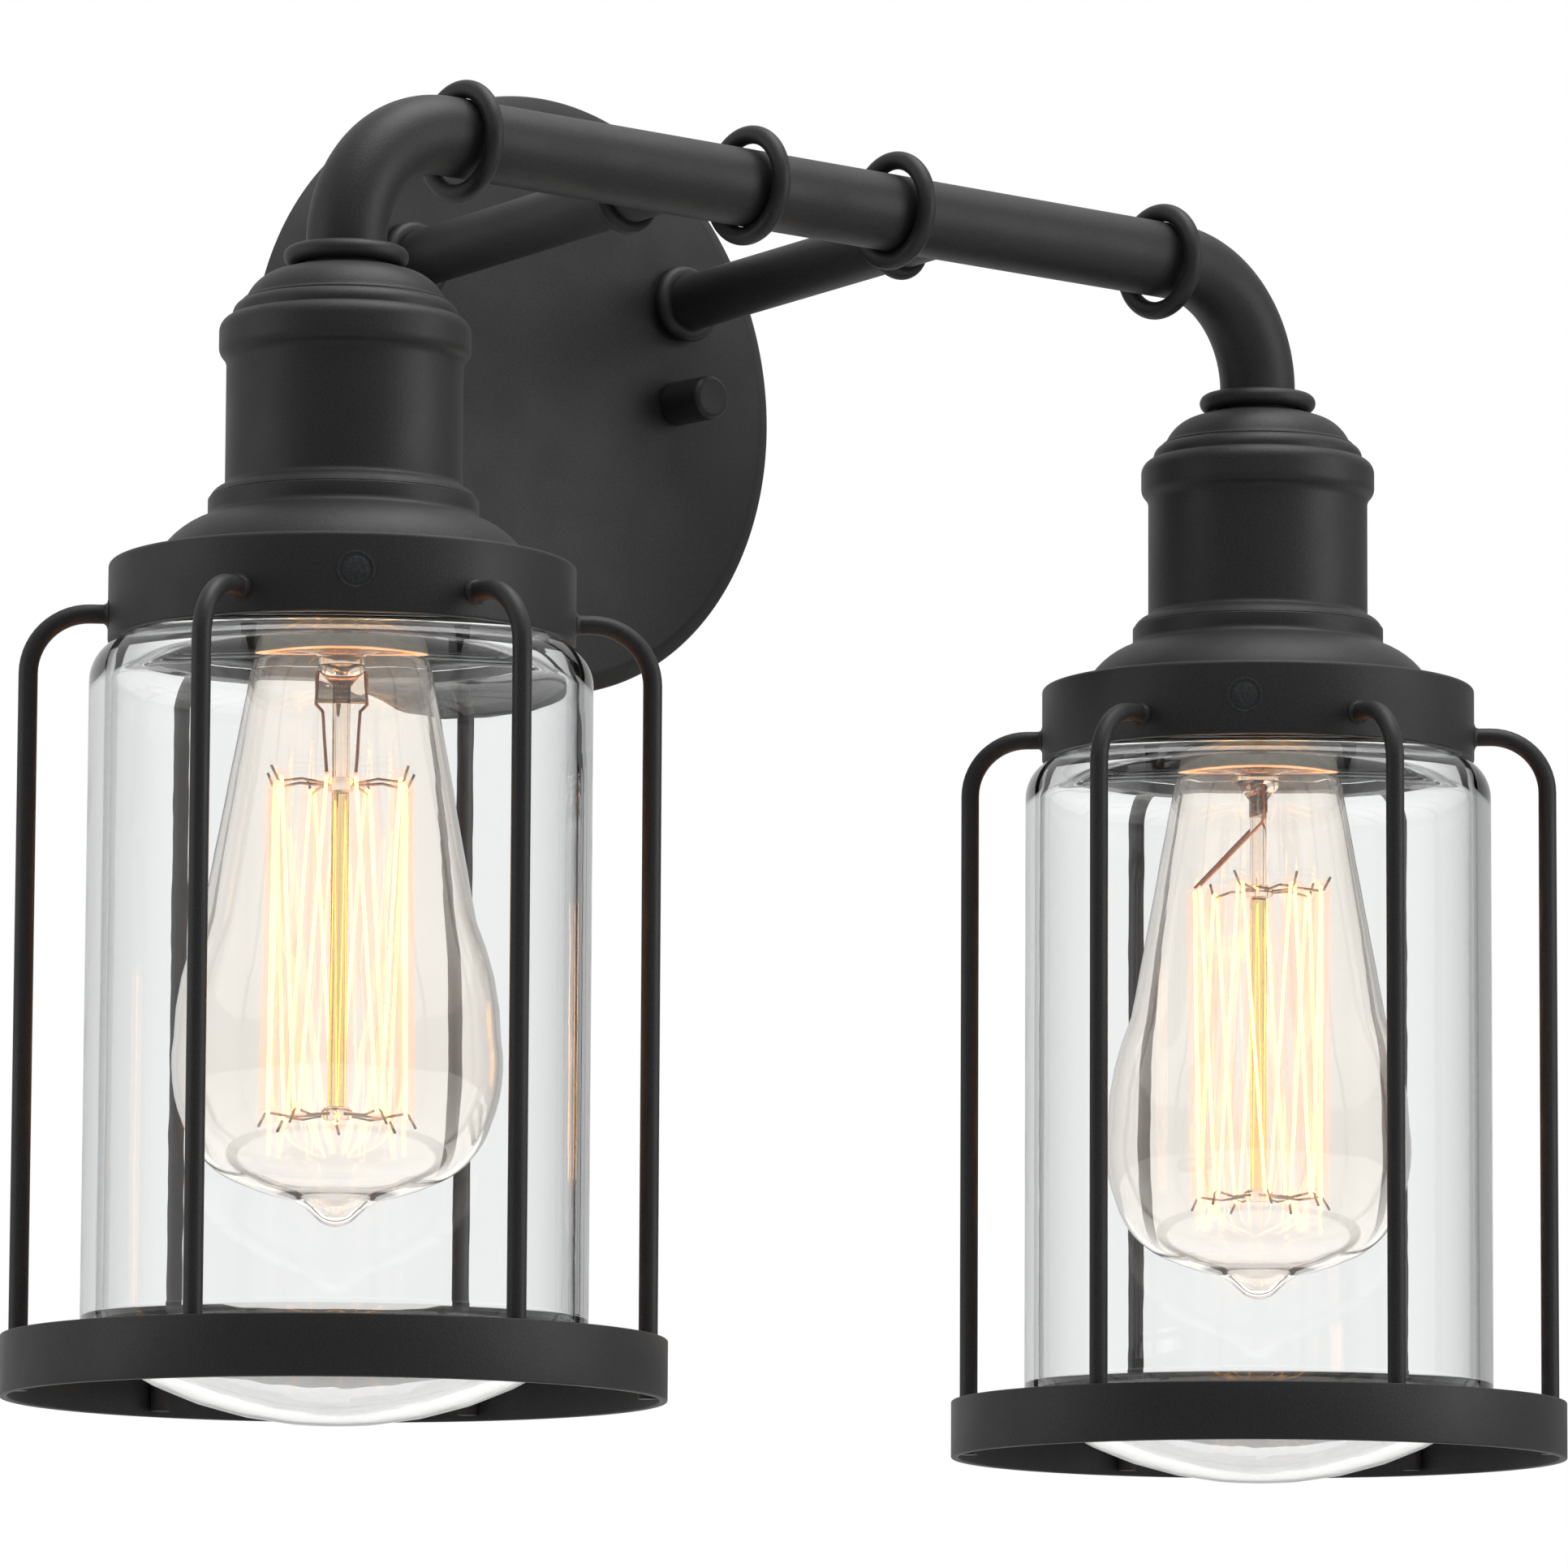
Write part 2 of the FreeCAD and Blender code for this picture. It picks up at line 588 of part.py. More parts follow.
def work_out_places():
    at.bar_y = -(s.canopy_depth + s.arm_reach)
    at.cup_top = s.bar_rise - s.bend_radius - s.elbow_leg
    at.cup_seat = at.cup_top - s.cup_height
    at.band_edge = at.cup_seat - s.fitter_height
    at.cage_bottom = at.band_edge - s.cage_drop
    at.holder_rim = at.band_edge + s.holder_rim_rise
    at.cap_height = s.cap_skirt + s.cap_pitch * s.cap_turns
    at.cap_low = s.shell_start - s.cap_skirt / 2
    at.cap_end = at.cap_low + at.cap_height + s.cap_cone + s.eyelet_height
    at.holder_depth = at.cap_end + s.contact_thickness + s.seat_gap * 2
    at.bulb_tip = at.holder_rim + at.cap_low - s.bulb_length
    at.press_place = s.bulb_length - s.press_setback
    at.upper_hub = at.press_place - s.upper_hub_drop
    at.flare_foot = s.band_radius - s.ledge_width
    at.jar_neck = s.band_radius - s.jar_neck_inset
    at.jar_radius = s.band_radius + s.jar_overhang
    at.jar_dome_edge = at.jar_radius - s.jar_corner_reach
    at.half_bar = s.lantern_spacing / 2 - s.bend_radius
    at.arm_x = s.arm_spacing / 2
    at.stud_x = s.stud_spacing / 2
    at.canopy_inside = s.canopy_depth - s.canopy_wall
    at.tube_bore = s.tube_radius - s.tube_wall
    at.arm_bore = s.arm_radius - s.arm_wall
    at.ring_centre_radius = s.tube_radius + s.ring_play + s.ring_wire
    rise = s.bar_rise - s.arm_rise
    tilt = math.degrees(math.atan2(rise.number, s.arm_reach.number))
    at.tilt = Size(tilt, "atan(%s / %s)" % (rise.formula, s.arm_reach.formula))
    length = math.hypot(rise.number, s.arm_reach.number)
    at.arm_length = Size(length, "sqrt(%s * %s + %s * %s)" % (
        rise.formula, rise.formula, s.arm_reach.formula, s.arm_reach.formula))
    at.arm_foot = s.arm_radius * (rise / s.arm_reach) + s.seat_gap
    at.arm_turn = (ALONG_X, Size(RIGHT_ANGLE - tilt, "90 deg - %s" % at.tilt.formula))


def lantern_x(side):
    return s.lantern_spacing / 2 * side


# Canopy and what holds it to the wall

def canopy():
    rim = s.canopy_radius - s.canopy_draft
    face = rim - s.canopy_bevel
    shoulder = s.canopy_depth - s.canopy_bevel_depth
    body = turned("canopy", [
        (s.canopy_radius, ZERO),
        (rim, shoulder),
        (face, s.canopy_depth),
        (ZERO, s.canopy_depth),
        (ZERO, at.canopy_inside),
        (face - s.canopy_wall / 2, at.canopy_inside),
        (rim - s.canopy_wall, shoulder - s.canopy_wall / 2),
        (s.canopy_radius - s.canopy_wall, ZERO),
    ])
    holes = new_sketch(body, "XY_Plane", "holes")
    for name, side in SIDES:
        draw_circle(holes, at.arm_x * side, s.arm_rise, s.nipple_radius + s.hole_play)
        draw_circle(holes, at.stud_x * side, s.stud_rise, s.stud_radius + s.hole_play)
    pocket_both_ways(body, holes, s.canopy_depth + s.overrun)
    place(body, turn=OUTWARD)


def slot_corners(middle, half_length, half_width):
    """A slot that runs up and down, with round ends."""
    low = middle - half_length
    high = middle + half_length
    return [
        (half_width, low, half_width, 1),
        (half_width, high),
        (ZERO, high + half_width, half_width, 1),
        (-half_width, high, half_width, 1),
        (-half_width, low),
        (ZERO, low - half_width, half_width, 1),
    ]


def wall_bracket():
    body = turned("wall_bracket", tube_outline(
        s.plate_radius, s.plate_window, ZERO, s.plate_thickness))
    holes = new_sketch(body, "XY_Plane", "holes")
    for name, side in SIDES:
        draw_circle(holes, at.stud_x * side, s.stud_rise, s.stud_radius + s.thread_play)
        draw_outline(holes, slot_corners(
            s.box_screw_spacing / 2 * side, s.box_slot_length / 2, s.box_slot_radius))
    draw_circle(holes, ZERO, -s.ground_screw_drop, s.ground_screw_radius + s.thread_play)
    pocket_both_ways(body, holes, s.plate_thickness + s.overrun)
    place(body, turn=OUTWARD)


def mounting_studs():
    members = []
    for name, side in SIDES:
        stud = turned("stud", rod_outline(
            s.stud_radius, ZERO, s.canopy_depth + s.stud_reach))
        place(stud, at.stud_x * side, ZERO, s.stud_rise, OUTWARD)
        members.append(stud)
    group("mounting_studs", members)


def stud_nuts():
    members = []
    for name, side in SIDES:
        nut = hex_nut("stud_nut", s.stud_nut_flats, s.stud_nut_height,
                      s.stud_radius + s.thread_play)
        place(nut, at.stud_x * side, -s.plate_thickness, s.stud_rise, OUTWARD)
        members.append(nut)
    group("stud_nuts", members)


def cap_nuts():
    bore = s.stud_radius + s.thread_play
    start = s.canopy_depth + s.seat_gap
    for name, side in SIDES:
        nut = turned(name + "_cap_nut", [
            (s.cap_nut_radius, ZERO),
            (s.cap_nut_radius, s.cap_nut_length - s.cap_nut_chamfer),
            (s.cap_nut_radius - s.cap_nut_chamfer, s.cap_nut_length),
            (ZERO, s.cap_nut_length),
            (ZERO, s.cap_nut_depth),
            (bore, s.cap_nut_depth),
            (bore, ZERO),
        ])
        place(nut, at.stud_x * side, -start, s.stud_rise, OUTWARD)


def ground_screw():
    body = turned("ground_screw", [
        (s.ground_screw_radius, ZERO),
        (s.ground_screw_radius, s.plate_thickness),
        (s.ground_screw_head, s.plate_thickness),
        (s.ground_screw_head, s.plate_thickness + s.ground_screw_height),
        (ZERO, s.plate_thickness + s.ground_screw_height),
        (ZERO, ZERO),
    ])
    place(body, ZERO, ZERO, -s.ground_screw_drop, OUTWARD)


# Arms between the canopy and the crossbar

def arm_nipples():
    members = []
    for name, side in SIDES:
        nipple = turned("nipple", tube_outline(
            s.nipple_radius, s.nipple_bore, at.canopy_inside - s.nipple_inside,
            s.canopy_depth + s.nipple_outside))
        place(nipple, at.arm_x * side, ZERO, s.arm_rise, OUTWARD)
        members.append(nipple)
    group("arm_nipples", members)


def arm_locknuts():
    members = []
    for name, side in SIDES:
        nut = hex_nut("arm_nut", s.arm_nut_flats, s.arm_nut_height,
                      s.nipple_radius + s.thread_play)
        place(nut, at.arm_x * side, s.arm_nut_height - at.canopy_inside,
              s.arm_rise, OUTWARD)
        members.append(nut)
    group("arm_locknuts", members)


def arms():
    for name, side in SIDES:
        body = turned(name + "_arm", tube_outline(
            s.arm_radius, at.arm_bore, at.arm_foot, at.arm_length))
        saddle = new_sketch(body, "YZ_Plane", "saddle")
        draw_circle(saddle, ZERO, at.arm_length, s.tube_radius + s.thread_play)
        pocket_both_ways(body, saddle, s.arm_radius + s.overrun)
        place(body, at.arm_x * side, -s.canopy_depth, s.arm_rise, at.arm_turn)


def collar_outline(low):
    """A collar with a fully rounded outside."""
    inner = s.arm_radius + s.thread_play
    half = s.collar_width / 2
    flat = s.collar_radius - half
    return [
        (flat, low),
        (s.collar_radius, low + half, half, 1),
        (flat, low + s.collar_width, half, 1),
        (inner, low + s.collar_width),
        (inner, low),
    ]


def arm_collars():
    foot = s.collar_radius * ((s.bar_rise - s.arm_rise) / s.arm_reach) + s.seat_gap
    kinds = (("arm_base_collars", foot),
             ("arm_collars", s.arm_reach - s.collar_setback - s.collar_width / 2))
    for kind, low in kinds:
        members = []
        for name, side in SIDES:
            collar = turned("collar", collar_outline(low))
            place(collar, at.arm_x * side, -s.canopy_depth, s.arm_rise, at.arm_turn)
            members.append(collar)
        group(kind, members)


# Crossbar, elbows and rings

def crossbar():
    body = turned("crossbar", tube_outline(
        s.tube_radius, at.tube_bore, ZERO, at.half_bar * 2))
    holes = new_sketch(body, "XZ_Plane", "arm_holes")
    for name, side in SIDES:
        draw_circle(holes, ZERO, at.half_bar + at.arm_x * side,
                    at.arm_bore - s.hole_play)
    pocket_forward(body, holes, s.tube_radius + s.overrun, backward=False)
    place(body, -at.half_bar, at.bar_y, s.bar_rise, (ALONG_Y, RIGHT_ANGLE))


def elbows():
    turns = {"left": 0, "right": 2 * RIGHT_ANGLE}
    spigot = at.tube_bore - s.thread_play
    bore = spigot - s.spigot_wall
    for name, side in SIDES:
        body = new_body(name + "_elbow")
        leg = new_sketch(body, "XY_Plane", "leg")
        draw_circle(leg, ZERO, ZERO, s.tube_radius)
        draw_circle(leg, ZERO, ZERO, s.lamp_nipple_radius + s.thread_play)
        pad(body, leg, s.elbow_leg)
        bend = new_sketch(body, "XY_Plane", "bend", s.elbow_leg)
        draw_circle(bend, ZERO, ZERO, s.tube_radius)
        draw_circle(bend, ZERO, ZERO, bore)
        low = FreeCAD.Vector(s.bend_radius.number, 0, 0)
        high = FreeCAD.Vector(s.bend_radius.number, s.tube_radius.number, 0)
        axis = bend.addGeometry(Part.LineSegment(low, high), True)
        pin_point(bend, axis, 1, s.bend_radius, ZERO)
        pin_point(bend, axis, 2, s.bend_radius, s.tube_radius)
        feature = body.newObject("PartDesign::Revolution", body.Name + "_bend_turned")
        feature.Profile = bend
        feature.ReferenceAxis = (bend, ["Axis0"])
        feature.Angle = RIGHT_ANGLE
        end = new_sketch(body, "YZ_Plane", "spigot", s.bend_radius)
        height = s.elbow_leg + s.bend_radius
        draw_circle(end, ZERO, height, spigot)
        draw_circle(end, ZERO, height, bore)
        pad(body, end, s.spigot_length)
        place(body, lantern_x(side), at.bar_y, at.cup_top, (ALONG_Z, turns[name]))


def tube_ring(name):
    ring = doc.addObject("Part::Torus", name)
    ring.setExpression("Radius1", at.ring_centre_radius.formula)
    ring.setExpression("Radius2", s.ring_wire.formula)
    return ring


def neck_rings():
    for name, side in SIDES:
        ring = keep(tube_ring("Ring_" + name), name + "_neck_ring")
        place(ring, lantern_x(side), at.bar_y, at.cup_top + s.ring_wire)


def bar_rings():
    """Four rings, loose on the crossbar; each leans on it at its top or its foot."""
    lean = s.ring_play - s.thread_play
    places = ((-s.outer_ring_place, -lean), (-s.inner_ring_place, lean),
              (s.inner_ring_place, lean), (s.outer_ring_place, -lean))
    members = []
    for x, offset in places:
        ring = tube_ring("BarRing")
        place(ring, x, at.bar_y, s.bar_rise + offset, (ALONG_Y, RIGHT_ANGLE))
        members.append(ring)
    group("bar_rings", members)


# Socket cup and fitter

def socket_cups():
    outer = s.cup_radius + s.main_bead_reach
    bead_top = s.main_bead_low + s.main_bead_height
    small = outer - s.small_bead_inset
    small_top = bead_top + s.small_bead_height
    step = s.dome_radius + s.dome_step
    knee = s.cup_height - s.dome_rise
    foot = s.cup_radius + s.foot_reach
    inside = s.cup_radius - s.cup_wall
    bore = s.lamp_nipple_radius + s.hole_play

    def up(height):
        return height + s.cup_skirt

    corners = [
        (s.cup_radius, ZERO),
        (s.cup_radius, up(s.seat_gap)),
        (foot, up(s.seat_gap)),
        (s.cup_radius + s.foot_fillet_reach, up(s.foot_height), s.foot_round, 1),
        (s.cup_radius, up(s.foot_height + s.foot_fillet), s.foot_fillet, -1),
        (s.cup_radius, up(s.main_bead_low)),
        (s.cup_radius + s.main_bead_reach / 2, up(s.main_bead_low + s.main_bead_ease / 2),
         s.main_bead_sweep, -1),
        (outer, up(s.main_bead_low + s.main_bead_ease), s.main_bead_sweep, 1),
        (outer, up(bead_top - s.main_bead_round)),
        (small, up(bead_top), s.main_bead_round, 1),
        (small, up(bead_top + s.small_bead_side)),
        (step + s.cup_wall / 4, up(small_top - s.dome_step_height), s.small_bead_round, 1),
        (step, up(small_top - s.dome_step_height)),
        (step, up(small_top)),
        (s.dome_radius, up(small_top)),
        (s.dome_knee, up(knee), s.dome_round, 1),
        (s.dome_top, up(s.cup_height), s.dome_crown, 1),
        (bore, up(s.cup_height)),
        (bore, up(s.cup_height - s.cup_wall)),
        (s.dome_top, up(s.cup_height - s.cup_wall)),
        (s.dome_knee - s.cup_wall / 4, up(knee - s.cup_wall), s.dome_crown, -1),
        (s.dome_radius - s.cup_wall, up(small_top - s.cup_wall / 2),
         s.dome_round - s.cup_wall, -1),
        (s.dome_radius - s.cup_wall, up(bead_top - s.cup_wall)),
        (inside, up(bead_top - s.cup_wall - s.cup_wall)),
        (inside, ZERO),
    ]
    for name, side in SIDES:
        body = turned(name + "_socket_cup", corners)
        place(body, lantern_x(side), at.bar_y, at.cup_seat - s.cup_skirt)


def fitters():
    wall = s.fitter_wall
    collar = s.cup_radius + s.collar_reach
    collar_low = s.fitter_height - s.collar_height
    bore = s.cup_radius + s.collar_bore_play
    inner_top = s.band_height - s.ledge_wall
    corners = [
        (s.band_radius, ZERO),
        (s.band_radius, s.band_height - s.band_round),
        (s.band_radius - s.band_round, s.band_height, s.band_round, 1),
        (at.flare_foot, s.band_height),
        (collar + s.collar_fillet_reach, collar_low - s.collar_fillet_drop,
         s.flare_round, 1),
        (collar, collar_low, s.collar_fillet, -1),
        (collar, s.fitter_height),
        (bore, s.fitter_height),
        (bore, s.fitter_height - s.cup_skirt - wall),
        (at.flare_foot - wall, inner_top, s.flare_round - wall, -1),
        (s.band_radius - wall, inner_top),
        (s.band_radius - wall, ZERO),
    ]
    for name, side in SIDES:
        turn = getattr(s, name + "_cage_turn")
        body = turned(name + "_fitter", corners)
        wires = new_sketch(body, "XZ_Plane", "wire_hole")
        draw_circle(wires, ZERO, s.cage_wire_rise, s.cage_wire + s.thread_play)
        hole = pocket_forward(body, wires, s.band_radius + s.overrun, backward=True)
        pattern_round(body, [hole], s.cage_wire_count)
        place(body, lantern_x(side), at.bar_y, at.band_edge, (-ALONG_Z, turn))
        drill_rivet_holes(body, s.rivet_radius + s.thread_play)


def drill_rivet_holes(body, radius, height=None):
    """Holes for the rivets, turned from the wire holes by the rivets' own angle."""
    rivets = new_sketch(body, "XZ_Plane", "rivet_hole")
    draw_circle(rivets, ZERO, height or s.rivet_rise, radius)
    rivets.AttachmentOffset = FreeCAD.Placement(
        FreeCAD.Vector(0, 0, 0), FreeCAD.Rotation(-ALONG_Y, s.rivet_turn.number))
    rivets.setExpression("AttachmentOffset.Rotation.Angle", s.rivet_turn.formula)
    hole = pocket_forward(body, rivets, s.band_radius + s.overrun, backward=True)
    pattern_round(body, [hole], s.rivet_count)


def thread_rings():
    """The ring riveted into the band; the jar's thread turns in it."""
    outer = s.band_radius - s.fitter_wall - s.thread_play
    root = outer - s.thread_ring_wall
    crest = at.jar_neck + s.turn_play
    start = s.jar_thread_pitch / 2 - s.thread_ring_rise + s.jar_gap * 2
    corners = [(outer, ZERO), (outer, s.thread_ring_height),
               (root, s.thread_ring_height)]
    corners += reversed(ridges(start, root, crest, s.jar_thread_pitch, s.jar_thread_count))
    corners += [(root, ZERO)]
    for name, side in SIDES:
        turn = getattr(s, name + "_cage_turn")
        body = turned(name + "_thread_ring", corners)
        place(body, lantern_x(side), at.bar_y, at.band_edge + s.thread_ring_rise,
              (-ALONG_Z, turn))
        drill_rivet_holes(body, s.rivet_shank + s.thread_play,
                          s.rivet_rise - s.thread_ring_rise)


def band_rivets():
    """Rivets with flush heads; a rivet's axis points out of the band."""
    head_low = s.band_radius - s.fitter_wall
    shank_low = head_low - s.thread_ring_wall
    for name, side in SIDES:
        turn = getattr(s, name + "_cage_turn")
        members = []
        for index in range(int(s.rivet_count.number)):
            rivet = turned("rivet", [
                (s.rivet_shank, shank_low),
                (s.rivet_shank, head_low),
                (s.rivet_radius, head_low),
                (s.rivet_radius, s.band_radius),
                (ZERO, s.band_radius),
                (ZERO, shank_low),
            ])
            step = FULL_TURN / s.rivet_count.number * index
            angle = turn.number + s.rivet_turn.number + step
            spin = FreeCAD.Rotation(ALONG_Z, -angle)
            lay = FreeCAD.Rotation(ALONG_X, RIGHT_ANGLE)
            place(rivet, lantern_x(side), at.bar_y, at.band_edge + s.rivet_rise)
            rivet.Placement.Rotation = spin * lay
            members.append(rivet)
        group(name + "_band_rivets", members)


# Cage

def cage_rings():
    for name, side in SIDES:
        body = turned(name + "_cage_ring", tube_outline(
            s.cage_ring_radius, s.cage_ring_radius - s.cage_ring_wall,
            ZERO, s.cage_ring_height))
        place(body, lantern_x(side), at.bar_y, at.cage_bottom)


def cage_wires():
    """Six wires bent out of the band and down inside the cage ring."""
    out = s.cage_ring_radius - s.cage_ring_wall - s.thread_play - s.cage_wire
    top = s.cage_drop + s.cage_wire_rise
    start = s.band_radius - s.fitter_wall + s.hole_play
    for name, side in SIDES:
        turn = getattr(s, name + "_cage_turn")
        body = new_body(name + "_cage_wires")
        path = new_sketch(body, "YZ_Plane", "path")
        bend_start = out - s.cage_wire_bend
        bend_end = top - s.cage_wire_bend
        low = FreeCAD.Vector(-out.number, s.cage_wire_foot.number, 0)
        knee = FreeCAD.Vector(-out.number, bend_end.number, 0)
        shoulder = FreeCAD.Vector(-bend_start.number, top.number, 0)
        inner = FreeCAD.Vector(-start.number, top.number, 0)
        drop = path.addGeometry(Part.LineSegment(low, knee), False)
        bend = path.addGeometry(
            arc_between(knee, shoulder, s.cage_wire_bend.number, -1), False)
        run = path.addGeometry(Part.LineSegment(shoulder, inner), False)
        pin_point(path, drop, 1, -out, s.cage_wire_foot)
        pin_point(path, drop, 2, -out, bend_end)
        pin_point(path, run, 1, -bend_start, top)
        pin_point(path, run, 2, -start, top)
        path.addConstraint(Sketcher.Constraint("Coincident", drop, 2, bend, 2))
        path.addConstraint(Sketcher.Constraint("Coincident", bend, 1, run, 1))
        bind_constraint(path, Sketcher.Constraint(
            "Radius", bend, s.cage_wire_bend.number), s.cage_wire_bend)
        section = new_sketch(body, "XY_Plane", "section", s.cage_wire_foot)
        draw_circle(section, ZERO, -out, s.cage_wire)
        pipe = body.newObject("PartDesign::AdditivePipe", body.Name + "_pipe")
        pipe.Profile = section
        pipe.Spine = (path, [])
        pattern_round(body, [pipe], s.cage_wire_count)
        place(body, lantern_x(side), at.bar_y, at.cage_bottom, (-ALONG_Z, turn))


# Glass jar

def jars():
    wall = s.jar_wall
    height = s.jar_dip + s.cage_drop + s.jar_gap
    side_end = height - s.jar_shoulder
    shoulder_in = at.jar_radius - s.jar_shoulder
    neck_top = height + s.jar_neck_height
    inner = at.jar_radius - wall
    neck_in = at.jar_neck - wall
    crest = at.jar_neck + s.jar_thread_depth
    corners = [
        (ZERO, ZERO),
        (at.jar_dome_edge, s.jar_dome_rise, s.jar_dome_round, 1),
        (at.jar_radius, s.jar_side_start, s.jar_corner, 1),
        (at.jar_radius, side_end),
        (shoulder_in, height, s.jar_shoulder, 1),
        (at.jar_neck, height),
    ]
    corners += ridges(height + s.jar_gap, at.jar_neck, crest,
                      s.jar_thread_pitch, s.jar_thread_count)
    corners += [
        (at.jar_neck, neck_top - wall / 2),
        (at.jar_neck - wall / 2, neck_top, wall / 2, 1),
        (neck_in, neck_top - wall / 2, wall / 2, 1),
        (neck_in, height),
        (inner - s.jar_shoulder + wall / 2, height - wall),
        (inner, side_end - wall / 2, s.jar_shoulder - wall / 2, -1),
        (inner, s.jar_side_start + wall / 2),
        (at.jar_dome_edge - wall / 2, s.jar_dome_rise + wall, s.jar_corner - wall / 2, -1),
        (ZERO, wall, s.jar_dome_round, -1),
    ]
    for name, side in SIDES:
        body = turned(name + "_jar", corners)
        place(body, lantern_x(side), at.bar_y, at.cage_bottom - s.jar_dip)


# Lampholder and leads

def lampholders():
    bore = s.cap_crest + s.shell_play + s.shell_wall + s.thread_play
    top = s.holder_height
    for name, side in SIDES:
        body = turned(name + "_lampholder", [
            (s.holder_radius, ZERO),
            (s.holder_radius, top),
            (s.holder_boss_radius, top),
            (s.holder_boss_radius, top + s.holder_boss_height),
            (s.lamp_nipple_radius + s.thread_play, top + s.holder_boss_height),
            (s.lamp_nipple_radius + s.thread_play, top),
            (s.lamp_nipple_bore, top),
            (s.lamp_nipple_bore, at.holder_depth),
            (bore, at.holder_depth),
            (bore, ZERO),
        ])
        place(body, lantern_x(side), at.bar_y, at.holder_rim)


def screw_shells():
    """The brass thread in the lampholder; its ridges follow the lamp cap's."""
    root = s.cap_root + s.shell_play
    crest = s.cap_crest + s.shell_play
    outer = crest + s.shell_wall
    start = s.cap_skirt / 2
    inside = ridges(start, root, crest, s.cap_pitch, s.cap_turns)
    corners = [(outer, ZERO), (outer, s.shell_height)]
    corners += [(root, s.shell_height)] + list(reversed(inside))
    corners += [(crest, start), (crest, ZERO)]
    for name, side in SIDES:
        body = turned(name + "_screw_shell", corners)
        place(body, lantern_x(side), at.bar_y, at.holder_rim + s.shell_start)


def centre_contacts():
    """Sprung brass contacts in the roof of the lampholder's bore."""
    for name, side in SIDES:
        body = turned(name + "_centre_contact", tube_outline(
            s.contact_radius, s.contact_radius / 4,
            at.cap_end + s.seat_gap, at.holder_depth - s.seat_gap))
        place(body, lantern_x(side), at.bar_y, at.holder_rim)


def lamp_nipples():
    low = at.holder_rim + s.holder_height
    for name, side in SIDES:
        body = turned(name + "_lamp_nipple", tube_outline(
            s.lamp_nipple_radius, s.lamp_nipple_bore, ZERO,
            at.cup_top + s.elbow_leg - low))
        place(body, lantern_x(side), at.bar_y, low)


def cup_locknuts():
    members = []
    for name, side in SIDES:
        nut = hex_nut("cup_nut", s.cup_nut_flats, s.cup_nut_height,
                      s.lamp_nipple_radius + s.thread_play)
        place(nut, lantern_x(side), at.bar_y,
              at.cup_top - s.cup_wall - s.cup_nut_height)
        members.append(nut)
    group("cup_locknuts", members)


def lead_plane(kind):
    """The neutral leads, the outer ones in the arms, lie nearer to the wall."""
    return s.lead_plane_gap / 2 * kind - s.lead_plane


def lead_route(side, kind):
    """A lead from the lampholder through elbow, crossbar and arm to its connector.
    A kind of -1 is the live lead and 1 the neutral one."""
    x = lantern_x(side)
    aside = s.lead_gap / 2 * kind
    y = at.bar_y + aside
    arm_at = at.arm_x * side + aside * side
    plane = lead_plane(kind)
    mouth_x = s.connector_place * kind + s.lead_gap / 2 * side
    low = at.holder_rim + at.holder_depth
    lean = aside * ((s.bar_rise - s.arm_rise) / s.arm_reach)
    return [
        vector(x, y, low),
        vector(x, y, s.bar_rise),
        vector(arm_at, y, s.bar_rise - lean),
        vector(arm_at, -s.canopy_depth, s.arm_rise),
        vector(arm_at, plane, s.arm_rise),
        vector(mouth_x, plane, s.arm_rise),
        vector(mouth_x, plane, -s.connector_drop),
    ]


def lead_wires():
    bends = [s.bend_radius.number, s.lead_bend.number, s.lead_easy_bend.number,
             s.lead_bend.number, s.lead_bend.number]
    for name, side in SIDES:
        leads = [tube_along(lead_route(side, kind), bends, s.lead_radius.number)
                 for kind in (-1, 1)]
        shaped(name + "_lead_wires", Part.makeCompound(leads))


def wire_connectors():
    """Twist-on connectors, mouth upwards, one for the live and one for the neutral."""
    members = []
    mouth = s.connector_radius
    for kind in (-1, 1):
        connector = turned("connector", [
            (s.connector_tip, ZERO),
            (mouth, s.connector_length - mouth),
            (mouth, s.connector_length),
            (ZERO, s.connector_length),
            (ZERO, ZERO),
        ])
        place(connector, s.connector_place * kind,
              lead_plane(kind),
              -(s.connector_drop + s.connector_length + s.thread_play))
        members.append(connector)
    group("wire_connectors", members)


def ground_wire():
    start = s.ground_screw_head + s.seat_gap - s.ground_screw_drop
    points = [
        vector(ZERO, -s.ground_plane, start),
        vector(ZERO, -s.ground_plane, s.ground_turn_rise),
        vector(-s.ground_turn_side, -s.ground_plane, s.ground_turn_rise),
        vector(-s.ground_turn_side, s.lead_radius / 2 - at.canopy_inside, s.ground_end_rise),
    ]
    bends = [s.lead_bend.number, s.lead_bend.number]
    shaped("ground_wire", tube_along(points, bends, s.lead_radius.number))


# Bulb

def bulb_outline(inset):
    """The bulb's side from its tip to its throat, moved inwards by the inset."""
    return [
        (s.bulb_tip_radius - inset, s.bulb_tip_height + inset, s.bulb_tip_round),
        (s.bulb_chin_radius - inset, s.bulb_chin_height + inset, s.bulb_bottom_round),
        (s.bulb_cheek_radius - inset, s.bulb_cheek_height + inset / 2, s.bulb_chin_round),
        (s.bulb_radius - inset, s.bulb_widest, s.bulb_cheek_round),
        (s.bulb_waist_radius - inset, s.bulb_waist_height, s.bulb_side_round),
        (s.bulb_neck_radius - inset, s.bulb_length - s.bulb_neck_setback, None),
        (s.bulb_throat - inset, s.bulb_length, s.bulb_neck_round),
    ]


